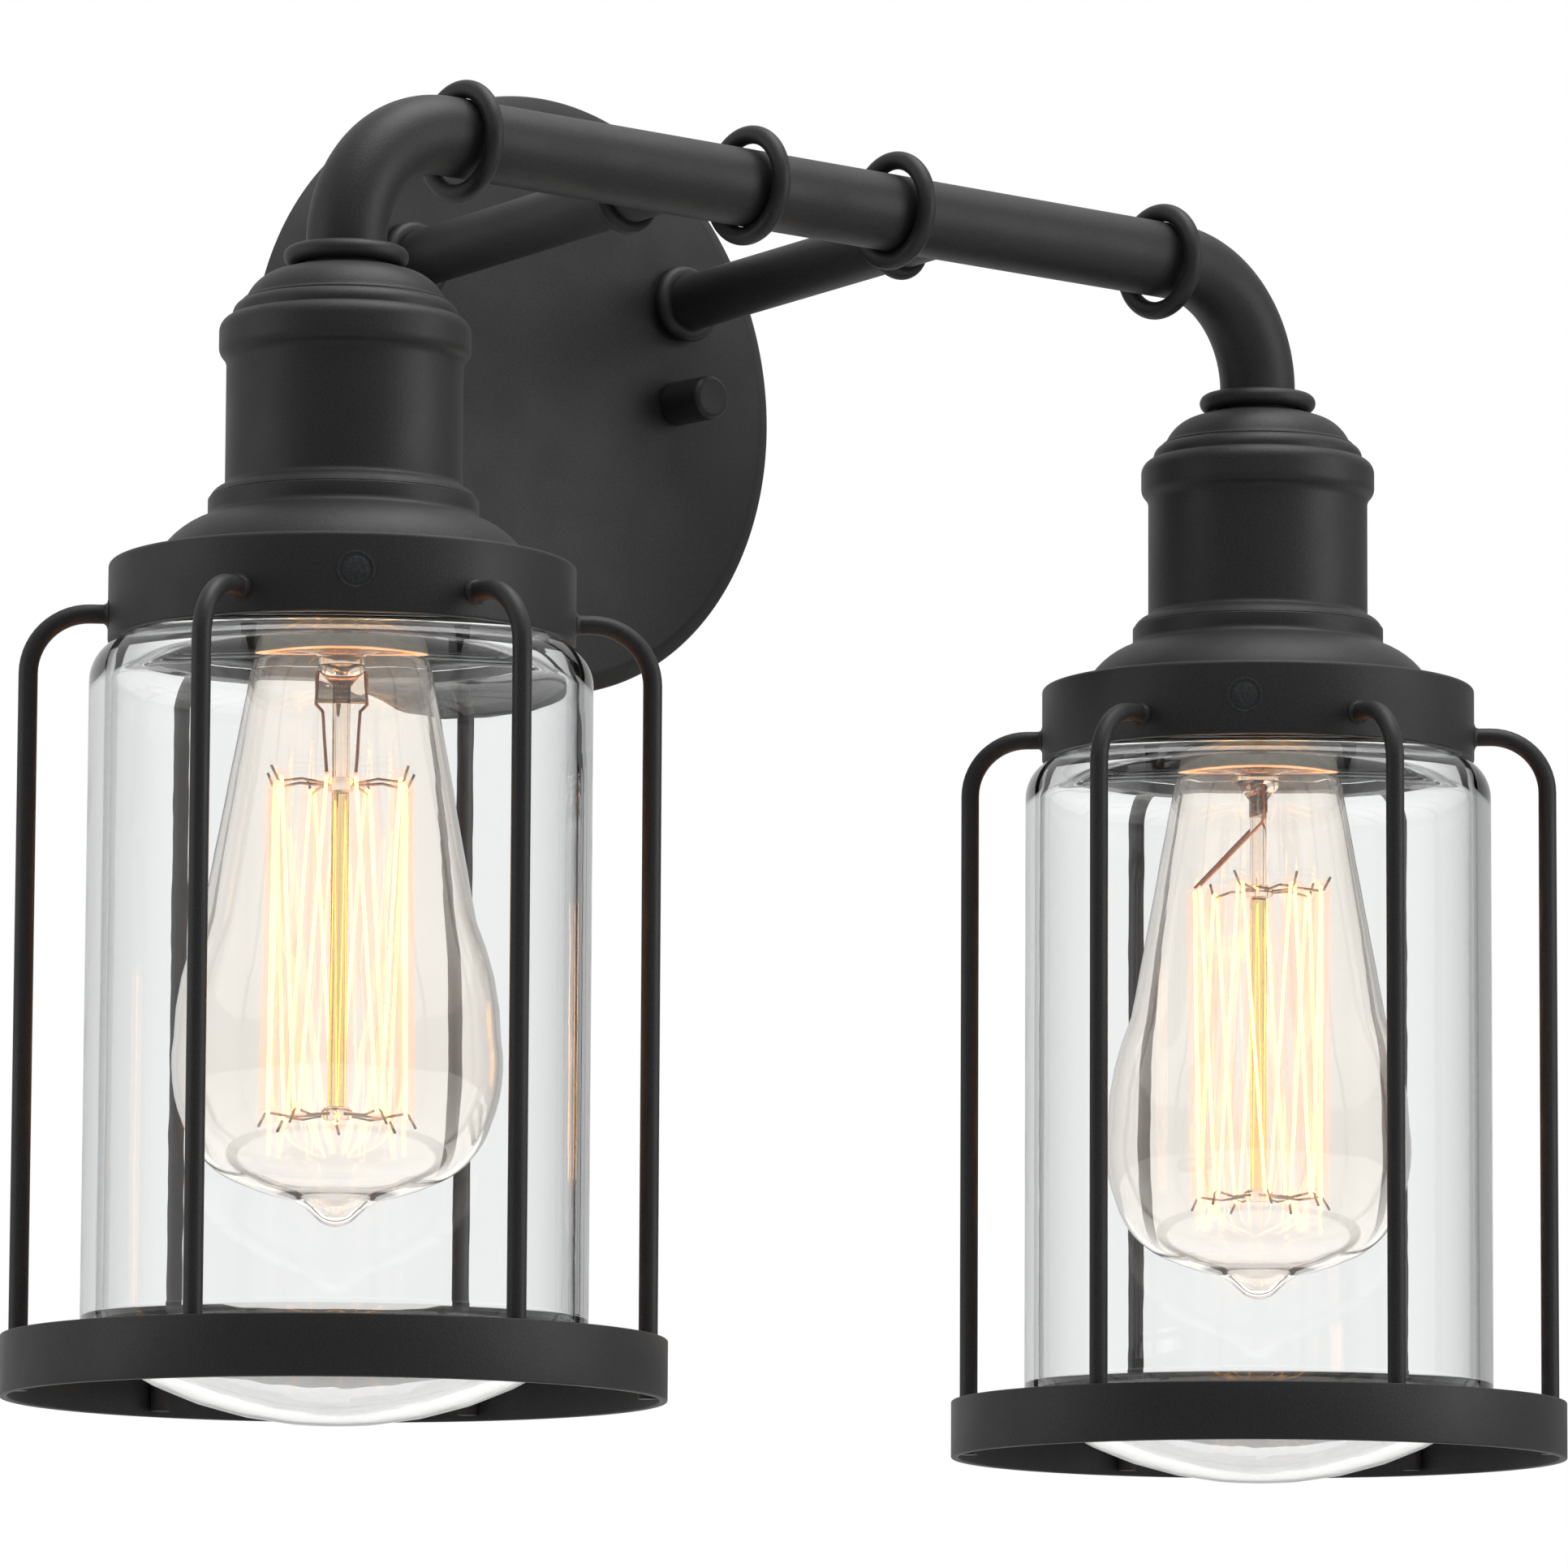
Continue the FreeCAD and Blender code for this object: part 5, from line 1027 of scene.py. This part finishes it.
class VANITY_OT_jars(PieceOperator):
    """Clear glass jars with a domed bottom and a threaded neck"""
    bl_idname = "vanity.jars"
    bl_label = "Glass jars"

    def execute(self, context):
        cup, cage, jar = sizes(context, "cup", "cage", "jar")
        wall = jar.wall
        neck = cup.band_radius - jar.neck_inset
        height = jar.dip + cage.drop + jar.gap
        side_end = height - jar.shoulder
        top = height + jar.neck_height
        inner = jar.radius - wall
        crest = neck + jar.thread_depth
        quarter = jar.thread_pitch / 4
        thread = []
        for index in range(jar.thread_ridges):
            low = height + jar.gap + jar.thread_pitch * (index + 0.25)
            thread += [(neck, low), (crest, low + quarter), (crest, low + quarter * 1.4),
                       (neck, low + quarter * 2.4)]
        add_pair(context, "glass_jar", [
            (0, 0),
            (jar.dome_edge, jar.dome_rise, jar.dome_round, 1),
            (jar.radius, jar.side_start, jar.corner, 1),
            (jar.radius, side_end),
            (jar.radius - jar.shoulder, height, jar.shoulder, 1),
            (neck, height),
            *thread,
            (neck, top - wall / 2),
            (neck - wall / 2, top, wall / 2, 1),
            (neck - wall, top - wall / 2, wall / 2, 1),
            (neck - wall, height),
            (inner - jar.shoulder + wall / 2, height - wall),
            (inner, side_end - wall / 2, jar.shoulder - wall / 2, -1),
            (inner, jar.side_start + wall / 2),
            (jar.dome_edge - wall / 2, jar.dome_rise + wall, jar.corner - wall / 2, -1),
            (0, wall, jar.dome_round, -1),
        ], "jar", "jar", "jar_glass", "jar", 50.0, closed=False, edge=jar.edge, steps=256)
        return {"FINISHED"}


class VANITY_OT_lampholders(PieceOperator):
    """Glazed porcelain lampholders with a rounded rim"""
    bl_idname = "vanity.lampholders"
    bl_label = "Lampholders"

    def execute(self, context):
        lamp, finish = sizes(context, "lamp", "finish")
        bore = lamp.cap_crest + lamp.cap_play
        boss_top = lamp.holder_height + lamp.boss_height
        add_pair(context, "porcelain_holder", [
            (lamp.holder_radius, 0),
            (lamp.holder_radius, lamp.holder_height),
            (lamp.boss_radius, lamp.holder_height),
            (lamp.boss_radius, boss_top),
            (lamp.boss_bore, boss_top),
            (lamp.boss_bore, lamp.holder_height - lamp.roof_middle),
            (bore, lamp.holder_height - lamp.roof_side),
            (bore, 0),
        ], "lampholder", "rim", "holder_porcelain", edge=finish.edge * 1.5, steps=96)
        return {"FINISHED"}


# The bulb's outside from its tip up, and the inside, in mm as drawn for a bulb of the
# default size: the tip is a hollow drop of glass
BULB_OUTSIDE = (
    (0, 0),
    (3.4, 1.25, 5.25, 1),
    (5.3, 3.0),
    (9.4, 5.4, 11.0, -1),
    (19.0, 8.4, 40.0, 1),
    (30.1, 20.0, 18.0, 1),
    (32.0, 36.5, 30.0, 1),
    (26.9, 60.0, 60.0, 1),
    (18.0, 108.5),
    (12.6, 117.0, 14.0, 1),
)
BULB_INSIDE = (
    (0, 1.7),
    (2.4, 2.4, 4.5, 1),
    (4.5, 4.2),
    (9.2, 6.5, 10.0, -1),
    (18.6, 9.3, 39.0, 1),
    (29.2, 20.4, 17.0, 1),
    (31.1, 36.5, 29.0, 1),
    (26.0, 60.0, 59.0, 1),
    (17.1, 108.2),
    (11.7, 117.0, 13.0, 1),
)


class VANITY_OT_lamp_glass(PieceOperator):
    """Blown pear-shaped bulbs with a sealed tip"""
    bl_idname = "vanity.lamp_glass"
    bl_label = "Lamp glass"

    def execute(self, context):
        lamp = sizes(context, "lamp")
        across = lamp.bulb_radius / BULB_OUTSIDE[6][0]
        along = lamp.bulb_length / BULB_OUTSIDE[-1][1]

        def scaled(corners):
            return [(x * across, z * along, *(part * across for part in arc[:1]), *arc[1:])
                    for x, z, *arc in corners]

        corners = scaled(BULB_OUTSIDE) + backwards(scaled(BULB_INSIDE))
        add_pair(context, "blown_bulb", corners, "bulb_glass", "tip", "lamp_glass", "bulb",
                 60.0, closed=False, steps=192)
        return {"FINISHED"}


class VANITY_OT_lamp_caps(PieceOperator):
    """Rolled screw caps of the lamps"""
    bl_idname = "vanity.lamp_caps"
    bl_label = "Lamp caps"

    def execute(self, context):
        lamp = sizes(context, "lamp")
        pitch = lamp.cap_pitch
        # Where the root and the crest of a turn start and end, in shares of the pitch
        wave = ((lamp.cap_root, 0.25), (lamp.cap_root, 0.4), (lamp.cap_crest, 0.65),
                (lamp.cap_crest, 0.8))
        corners = [(lamp.cap_crest, 0), (lamp.cap_crest, lamp.cap_skirt)]
        for index in range(lamp.cap_turns):
            low = lamp.cap_skirt + pitch * index
            corners += [(radius, low + pitch * share) for radius, share in wave]
        top = lamp.cap_skirt + pitch * lamp.cap_turns
        inner = lamp.cap_root - lamp.cap_wall
        corners += [(lamp.cap_root, top), (inner, top), (inner, 0)]
        add_pair(context, "rolled_cap", corners, "bulb_cap", "cap", "lamp_cap_metal",
                 "bulb", 70.0, edge=lamp.cap_edge, steps=96)
        return {"FINISHED"}


def lamp_place(context, name, side):
    turn = getattr(sizes(context, "lamp"), name + "_turn")
    return lantern(context, side, heights(context)["tip"]) @ Matrix.Rotation(-turn, 4, "Z")


class VANITY_OT_stems(PieceOperator):
    """Glass stems: a flare at the cap, a flattened press and a rod with two hubs"""
    bl_idname = "vanity.stems"
    bl_label = "Glass stems"

    def execute(self, context):
        lamp = sizes(context, "lamp")
        half = lamp.hub_height / 2
        # A hub is a short drum whose side swells to its full radius
        end, swell = lamp.hub_radius * 0.8, half * 1.02
        lower, upper = lamp.lower_hub, lamp.upper_hub
        tube, glass = lamp.stem_tube, lamp.stem_wall
        tube_low = lamp.press_place + lamp.press_height * 0.8
        tube_top = lamp.bulb_length - tube
        flare = lamp.cap_root - glass
        for name, side in SIDES:
            rod = turned([
                (0, lower - half),
                (end, lower - half),
                (lamp.hub_radius, lower, swell, 1),
                (end, lower + half, swell, 1),
                (lamp.rod_radius, lower + half),
                (lamp.rod_radius, upper - half),
                (end, upper - half),
                (lamp.hub_radius, upper, swell, 1),
                (end, upper + half, swell, 1),
                (lamp.rod_radius, upper + half),
                (lamp.rod_radius, lamp.press_place + lamp.press_height / 2),
                (tube * 0.75, tube_low),
                (tube, tube_low + tube / 2, tube / 2, 1),
                (tube, tube_top),
                (flare, lamp.bulb_length, tube * 2, -1),
                (flare - glass, lamp.bulb_length),
                (tube - glass, tube_top, tube * 2, 1),
                (tube - glass, tube_low + tube / 2),
                (0, tube_low + tube / 3),
            ], closed=False, edge=lamp.stem_round, steps=64)
            press = bmesh.new()
            bmesh.ops.create_cube(press, size=1.0)
            bmesh.ops.scale(press, verts=press.verts[:],
                            vec=(lamp.press_width, lamp.press_depth, lamp.press_height))
            bmesh.ops.translate(press, verts=press.verts[:],
                                vec=(0, 0, lamp.press_place + lamp.press_height / 2))
            bmesh.ops.bevel(press, geom=press.edges[:], offset=lamp.press_depth * 0.36,
                            segments=4, profile=0.5, affect="EDGES", material=-1)
            whole = joined([(rod, Matrix()), (press, Matrix())])
            # The rod between the hubs takes the second glass, whose yellow tones are
            # painted filament light
            for face in whole.faces:
                height = face.calc_center_median().z
                face.material_index = int(lower + half < height < upper - half)
            add_piece(context, name + "_glass_stem", whole, name + "_bulb", "stem_glass",
                      [name + "_bulb_stem"], lamp_place(context, name, side), smooth=60.0,
                      second="painted_lit_rod_glass")
        return {"FINISHED"}


def round_the_rod(radius, turn, height):
    return Vector((radius * math.cos(turn), radius * math.sin(turn), height))


def strand_turn(lamp, index):
    return FULL / (lamp.strands + 1) * (index + 0.5) - QUARTER


def wire_mesh(context, runs, radius, place):
    """Thin round wires through runs of points."""
    curve = bpy.data.curves.new("wire", "CURVE")
    curve.dimensions = "3D"
    curve.bevel_depth = radius
    curve.bevel_resolution = 2
    curve.use_fill_caps = True
    for points in runs:
        spline = curve.splines.new("POLY")
        spline.points.add(len(points) - 1)
        for slot, point in zip(spline.points, points):
            slot.co = (*(place @ point), 1.0)
    holder = bpy.data.objects.new("wire", curve)
    context.scene.collection.objects.link(holder)
    context.view_layer.update()
    data = bpy.data.meshes.new_from_object(
        holder.evaluated_get(context.evaluated_depsgraph_get()))
    bpy.data.objects.remove(holder)
    mesh = bmesh.new()
    mesh.from_mesh(data)
    bpy.data.meshes.remove(data)
    bmesh.ops.remove_doubles(mesh, verts=mesh.verts[:], dist=MERGE)
    bmesh.ops.recalc_face_normals(mesh, faces=mesh.faces[:])
    return mesh


# Bends of a support hook: share of its reach, mm short of that, side of the sway, and mm
# past its hub's middle. A hook sways by a small angle in radians, each one differently.
HOOK_BENDS = ((0.6, 0.0, 1, 0.7), (1.0, 0.8, 0, -0.1), (1.0, 0.2, 0, 0.3))
HOOK_SWAY, SWAY_STEP = 0.05, 2.4
# Half the width of a strand's turn over its hook, and the drop of the turn's two ends
STRAND_TURN, TURN_DROP = 0.5 * MM, 0.4
# Bends of a lead-in wire: share of its place across the press, and mm above the press's
# lower end. It ends above the strand that it feeds.
LEAD_PLACE, LEAD_BENDS, LEAD_END = 0.44, ((1.1, -0.2), (0.8, -1.6)), 0.7 * MM


class VANITY_OT_filaments(PieceOperator):
    """Support hooks, lead-in wires and the lit filament that zigzags between them"""
    bl_idname = "vanity.filaments"
    bl_label = "Filaments"

    def execute(self, context):
        lamp = sizes(context, "lamp")
        hooks, strands = self.hooks(lamp), self.strands(lamp)
        leads = self.leads(lamp)
        for name, side in SIDES:
            place = lamp_place(context, name, side)
            body = name + "_bulb"
            add_piece(context, name + "_support_wires",
                      wire_mesh(context, hooks, lamp.hook_wire, place), body,
                      "support_wire", [name + "_filament_supports"], smooth=60.0)
            add_piece(context, name + "_lead_in_wires",
                      wire_mesh(context, leads, lamp.lead_wire, place), body,
                      "lead_in_wire", smooth=60.0)
            coil = wire_mesh(context, [strands], lamp.coil_wire, place)
            glow = wire_mesh(context, [strands], lamp.glow_reach, place)
            for face in glow.faces:
                face.material_index = 1
            add_piece(context, name + "_lit_filament",
                      joined([(coil, Matrix()), (glow, Matrix())]), body, "tungsten",
                      [name + "_filament"], smooth=60.0, second="filament_halo")
        return {"FINISHED"}

    def hooks(self, lamp):
        """Each hook goes out from its hub, then bends up or down and leans out."""
        found = []
        for index in range(1, lamp.strands):
            turn = strand_turn(lamp, index)
            way = 1 if index % 2 == 0 else -1
            height = lamp.upper_hub if way > 0 else lamp.lower_hub
            reach = lamp.hook_reach
            sway = HOOK_SWAY * math.sin(index * SWAY_STEP)
            bends = [round_the_rod(reach * share - short * MM, turn + sway * bent,
                                   height + way * past * MM)
                     for share, short, bent, past in HOOK_BENDS]
            found.append([
                round_the_rod(lamp.hub_radius * 0.8, turn - sway, height), *bends,
                round_the_rod(reach + lamp.hook_lean, turn + sway,
                              height + way * lamp.hook_end)])
        return found

    def strands(self, lamp):
        """One strand that hangs from hook to hook."""
        reach = lamp.coil_reach
        found = [round_the_rod(reach, strand_turn(lamp, 0), lamp.upper_hub)]
        wide = STRAND_TURN / reach
        for index in range(1, lamp.strands):
            turn = strand_turn(lamp, index)
            way = 1 if index % 2 == 0 else -1
            height = lamp.upper_hub if way > 0 else lamp.lower_hub
            over = (lamp.hook_wire + lamp.coil_wire) * way
            found += [round_the_rod(reach, turn - wide, height + over * TURN_DROP),
                      round_the_rod(reach, turn, height + over),
                      round_the_rod(reach, turn + wide, height + over * TURN_DROP)]
        found.append(round_the_rod(reach, strand_turn(lamp, lamp.strands), lamp.upper_hub))
        return found

    def leads(self, lamp):
        """The two lead-in wires go from the press to the strand's two ends."""
        found = []
        last = strand_turn(lamp, lamp.strands)
        for sign, turn in ((1, strand_turn(lamp, 0)), (-1, last)):
            start = lamp.press_width * LEAD_PLACE * sign
            bends = [Vector((start * share, 0, lamp.press_place + above * MM))
                     for share, above in LEAD_BENDS]
            found.append([
                Vector((start, 0, lamp.press_place + lamp.press_height)), *bends,
                round_the_rod(lamp.coil_reach, turn, lamp.upper_hub + LEAD_END)])
        return found


KEPT_NODES = (
    ("zinc_plate", ("wall_bracket", "mounting_studs", "stud_nuts", "arm_nipples",
                    "arm_locknuts", "cup_locknuts", "left_lamp_nipple",
                    "right_lamp_nipple")),
    ("green_screw", ("ground_screw",)),
    ("ground_copper", ("ground_wire",)),
    ("thread_ring_metal", ("left_thread_ring", "right_thread_ring")),
    ("contact_brass", ("left_screw_shell", "right_screw_shell", "left_centre_contact",
                       "right_centre_contact")),
    ("lamp_cap_insulator", ("left_bulb_insulator", "right_bulb_insulator")),
    ("solder", ("left_bulb_eyelet", "right_bulb_eyelet")),
    ("lead_insulation", ("left_lead_wires", "right_lead_wires")),
    ("connector_plastic", ("wire_connectors",)),
)


class VANITY_OT_hidden_pieces(PieceOperator):
    """Finishes for the pieces that keep their machined solids"""
    bl_idname = "vanity.hidden_pieces"
    bl_label = "Bracket, wiring and fasteners"

    def execute(self, context):
        for finish, names in KEPT_NODES:
            for name in names:
                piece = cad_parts[name]
                piece.data.materials.clear()
                piece.data.materials.append(finish_for(context, finish))
        return {"FINISHED"}


CLEAR_PIECES = ("_glass_jar", "_blown_bulb", "_glass_stem")
# Softboxes: name, place and size in metres, power in watts, and the pieces left out, so
# that the glass doesn't mirror them
SOFTBOXES = (
    ("top_softbox", (0.1, -0.35, 1.1), (1.0, 0.8), 13.0, CLEAR_PIECES),
    ("left_fill", (-1.9, 0.8, 0.2), (1.2, 1.4), 10.0, CLEAR_PIECES + ("floor",)),
    ("right_fill", (1.2, -1.9, 0.25), (1.2, 1.4), 20.0, CLEAR_PIECES + ("floor",)),
)
SOFTBOX_TARGET = Vector((0, -0.1, -0.09))
# What a lit lamp throws on the wires round it and on its holder, in watts
LAMP_LIGHT = "#ff9a50"
LAMP_ON_WIRES, LAMP_ON_HOLDER = 0.08, 0.045
# The floor: its height and half width in metres, the size of the clouds in its paint, and
# the share of its tone that it keeps where no light falls
FLOOR_HEIGHT, FLOOR_REACH, FLOOR_CLOUDS, FLOOR_GLOW = -0.62, 4.0, 40 * MM, 0.85
# Strength of the world as a light, and of what is mirrored from in front of the object
WORLD_FILL, MIRRORED_FRONT = 0.05, 0.3
# The camera in metres, fitted to the photograph. The lens is the focal length in the
# photograph's pixels over its width, on a sensor of the usual width.
CAMERA_PLACE = Vector((-1.32473, -1.60735, -0.35839))
CAMERA_TARGET = Vector((-0.00928, -0.107, -0.09308))
CAMERA_ROLL = math.radians(0.3)
FOCAL_PIXELS, PHOTO_WIDTH, SENSOR_WIDTH = 12160.0, 1932.0, 36.0


def seen_through(tree):
    """One on the camera's own rays and on those that pass through glass."""
    return node(tree, "Math", {
        0: node(tree, "LightPath", output="Is Camera Ray"),
        1: node(tree, "LightPath", output="Is Transmission Ray")}, operation="MAXIMUM")


def light_only(context, light, pieces):
    """Put a light in the scene that falls on the given pieces alone."""
    holder = bpy.data.objects.new(light.name, light)
    reached = bpy.data.collections.new(light.name + "_reach")
    for piece in pieces:
        reached.objects.link(piece)
    holder.light_linking.receiver_collection = reached
    context.scene.collection.objects.link(holder)
    return holder


class VANITY_OT_stage(PieceOperator):
    """Pale floor, soft studio light, white background and the camera"""
    bl_idname = "vanity.stage"
    bl_label = "Stage"

    def execute(self, context):
        self.make_floor(context)
        self.make_world(context)
        self.make_softboxes(context)
        self.make_lamp_light(context)
        self.make_camera(context)
        context.scene.view_settings.view_transform = "Standard"
        return {"FINISHED"}

    def make_floor(self, context):
        """A matte floor that stays pale in the picture where little light falls."""
        mesh = bmesh.new()
        bmesh.ops.create_grid(mesh, x_segments=1, y_segments=1, size=FLOOR_REACH,
                              matrix=Matrix.Translation((0, 0, FLOOR_HEIGHT)))
        data = bpy.data.meshes.new("floor")
        mesh.to_mesh(data)
        mesh.free()
        floor = bpy.data.objects.new("floor", data)
        context.scene.collection.objects.link(floor)
        made, tree = new_finish("matte_pale_floor")
        place = node(tree, "TexCoord", output="Object")
        tone, _ = mottle(tree, place, FLOOR_CLOUDS, linear("#e4e3e1"),
                         sizes(context, "finish").floor)
        glow = node(tree, "Math", {0: seen_through(tree), 1: FLOOR_GLOW},
                    operation="MULTIPLY")
        shader = node(tree, "BsdfPrincipled", {
            "Base Color": tone, "Roughness": 0.9, "Emission Color": tone,
            "Emission Strength": glow})
        node(tree, "OutputMaterial", {"Surface": shader})
        data.materials.append(made)

    def make_world(self, context):
        """White to the eye. For the light it is bright behind the object and overhead
        and dim in front of it, as in a studio, and glass mirrors more of it."""
        world = context.scene.world = bpy.data.worlds.new("studio")
        world.use_nodes = True
        tree = world.node_tree
        tree.nodes.clear()

        def share_along(axis, low, high):
            way = node(tree, "TexCoord", output="Generated")
            part = node(tree, "SeparateXYZ", {0: way}, axis)
            return node(tree, "MapRange", {
                "Value": part, "From Min": low, "From Max": high}, "Result")

        bright = node(tree, "Math", {
            0: share_along("Z", 0.15, 0.75), 1: share_along("Y", 0.0, 1.4)},
            operation="MAXIMUM")
        mirrored = node(tree, "MapRange", {
            "Value": bright, "To Min": MIRRORED_FRONT, "To Max": 1.0}, "Result")
        turned_back = node(tree, "Math", {
            0: node(tree, "LightPath", output="Glossy Depth"), 1: 0.5},
            operation="GREATER_THAN")
        seen = node(tree, "Math", {0: seen_through(tree), 1: turned_back},
                    operation="SUBTRACT", use_clamp=True)
        lit = node(tree, "Mix", {0: turned_back, 2: WORLD_FILL, 3: mirrored})
        strength = node(tree, "Mix", {0: seen, 2: lit, 3: 1.0})
        sky = node(tree, "Background", {"Color": (1, 1, 1, 1), "Strength": strength})
        node(tree, "OutputWorld", {"Surface": sky})

    def make_softboxes(self, context):
        meshes = [piece for piece in context.scene.objects if piece.type == "MESH"]
        for name, place, (width, height), power, left_out in SOFTBOXES:
            light = bpy.data.lights.new(name, "AREA")
            light.shape = "RECTANGLE"
            light.size, light.size_y, light.energy = width, height, power
            holder = light_only(context, light, [
                piece for piece in meshes if not piece.name.endswith(left_out)])
            holder.location = place
            way = SOFTBOX_TARGET - Vector(place)
            holder.rotation_euler = way.to_track_quat("-Z", "Y").to_euler()

    def make_lamp_light(self, context):
        """Each lamp's own warm light, which would be lost in the bright studio."""
        lamp = sizes(context, "lamp")
        middle = (lamp.upper_hub + lamp.lower_hub) / 2
        top = lamp.upper_hub + lamp.hub_height
        for name, side in SIDES:
            glow = bpy.data.lights.new(name + "_lamp_glow", "POINT")
            glow.energy, glow.shadow_soft_size = LAMP_ON_WIRES, lamp.coil_reach
            spill = bpy.data.lights.new(name + "_lamp_spill", "AREA")
            spill.shape = "DISK"
            spill.energy, spill.size = LAMP_ON_HOLDER, lamp.coil_reach * 1.6
            for light, height, pieces in (
                    (glow, middle, ("_bent_wires", "_support_wires", "_lead_in_wires")),
                    (spill, top, ("_porcelain_holder",))):
                light.color = linear(LAMP_LIGHT)
                light.use_shadow = False
                holder = light_only(context, light,
                                    [bpy.data.objects[name + piece] for piece in pieces])
                height += heights(context)["tip"]
                holder.location = lantern(context, side, height).translation
                holder.rotation_euler = (math.pi, 0, 0)
                holder.visible_camera = holder.visible_transmission = False

    def make_camera(self, context):
        camera = bpy.data.cameras.new("camera")
        camera.sensor_fit, camera.sensor_width = "HORIZONTAL", SENSOR_WIDTH
        camera.lens = FOCAL_PIXELS / PHOTO_WIDTH * SENSOR_WIDTH
        camera.clip_start, camera.clip_end = 0.1, 20.0
        holder = context.scene.camera = bpy.data.objects.new("camera", camera)
        way = (CAMERA_TARGET - CAMERA_PLACE).to_track_quat("-Z", "Y").to_matrix().to_4x4()
        roll = Matrix.Rotation(CAMERA_ROLL, 4, "Z")
        holder.matrix_world = Matrix.Translation(CAMERA_PLACE) @ way @ roll
        context.scene.collection.objects.link(holder)


PIECES = (
    VANITY_OT_canopy, VANITY_OT_cap_nuts, VANITY_OT_arms, VANITY_OT_crossbar,
    VANITY_OT_socket_cups, VANITY_OT_fitters, VANITY_OT_rivets, VANITY_OT_cages,
    VANITY_OT_jars, VANITY_OT_lampholders, VANITY_OT_lamp_glass, VANITY_OT_lamp_caps,
    VANITY_OT_stems, VANITY_OT_filaments, VANITY_OT_hidden_pieces, VANITY_OT_stage,
)
SIZES = (
    ("vanity_wall", WallSizes), ("vanity_bar", BarSizes), ("vanity_cup", CupSizes),
    ("vanity_cage", CageSizes), ("vanity_jar", JarSizes), ("vanity_lamp", LampSizes),
    ("vanity_finish", Finishes),
)


class VANITY_PT_sidebar(Panel):
    """The pieces and sizes of the vanity light"""
    bl_idname = "VANITY_PT_sidebar"
    bl_label = "Vanity Light"
    bl_space_type = "VIEW_3D"
    bl_region_type = "UI"
    bl_category = "Vanity Light"

    def draw(self, context):
        for piece in PIECES:
            self.layout.operator(piece.bl_idname)
        for group, kind in SIZES:
            box = self.layout.box()
            for name in kind.__annotations__:
                box.prop(getattr(context.scene, group), name)


def register():
    for name, kind in SIZES:
        bpy.utils.register_class(kind)
        setattr(bpy.types.Scene, name, PointerProperty(type=kind))
    for kind in PIECES + (VANITY_PT_sidebar,):
        bpy.utils.register_class(kind)


def unregister():
    for kind in (VANITY_PT_sidebar,) + PIECES[::-1]:
        bpy.utils.unregister_class(kind)
    for name, kind in SIZES[::-1]:
        delattr(bpy.types.Scene, name)
        bpy.utils.unregister_class(kind)


def main():
    register()
    for piece in PIECES:
        group, name = piece.bl_idname.split(".")
        getattr(getattr(bpy.ops, group), name)()


if __name__ == "__main__":
    main()
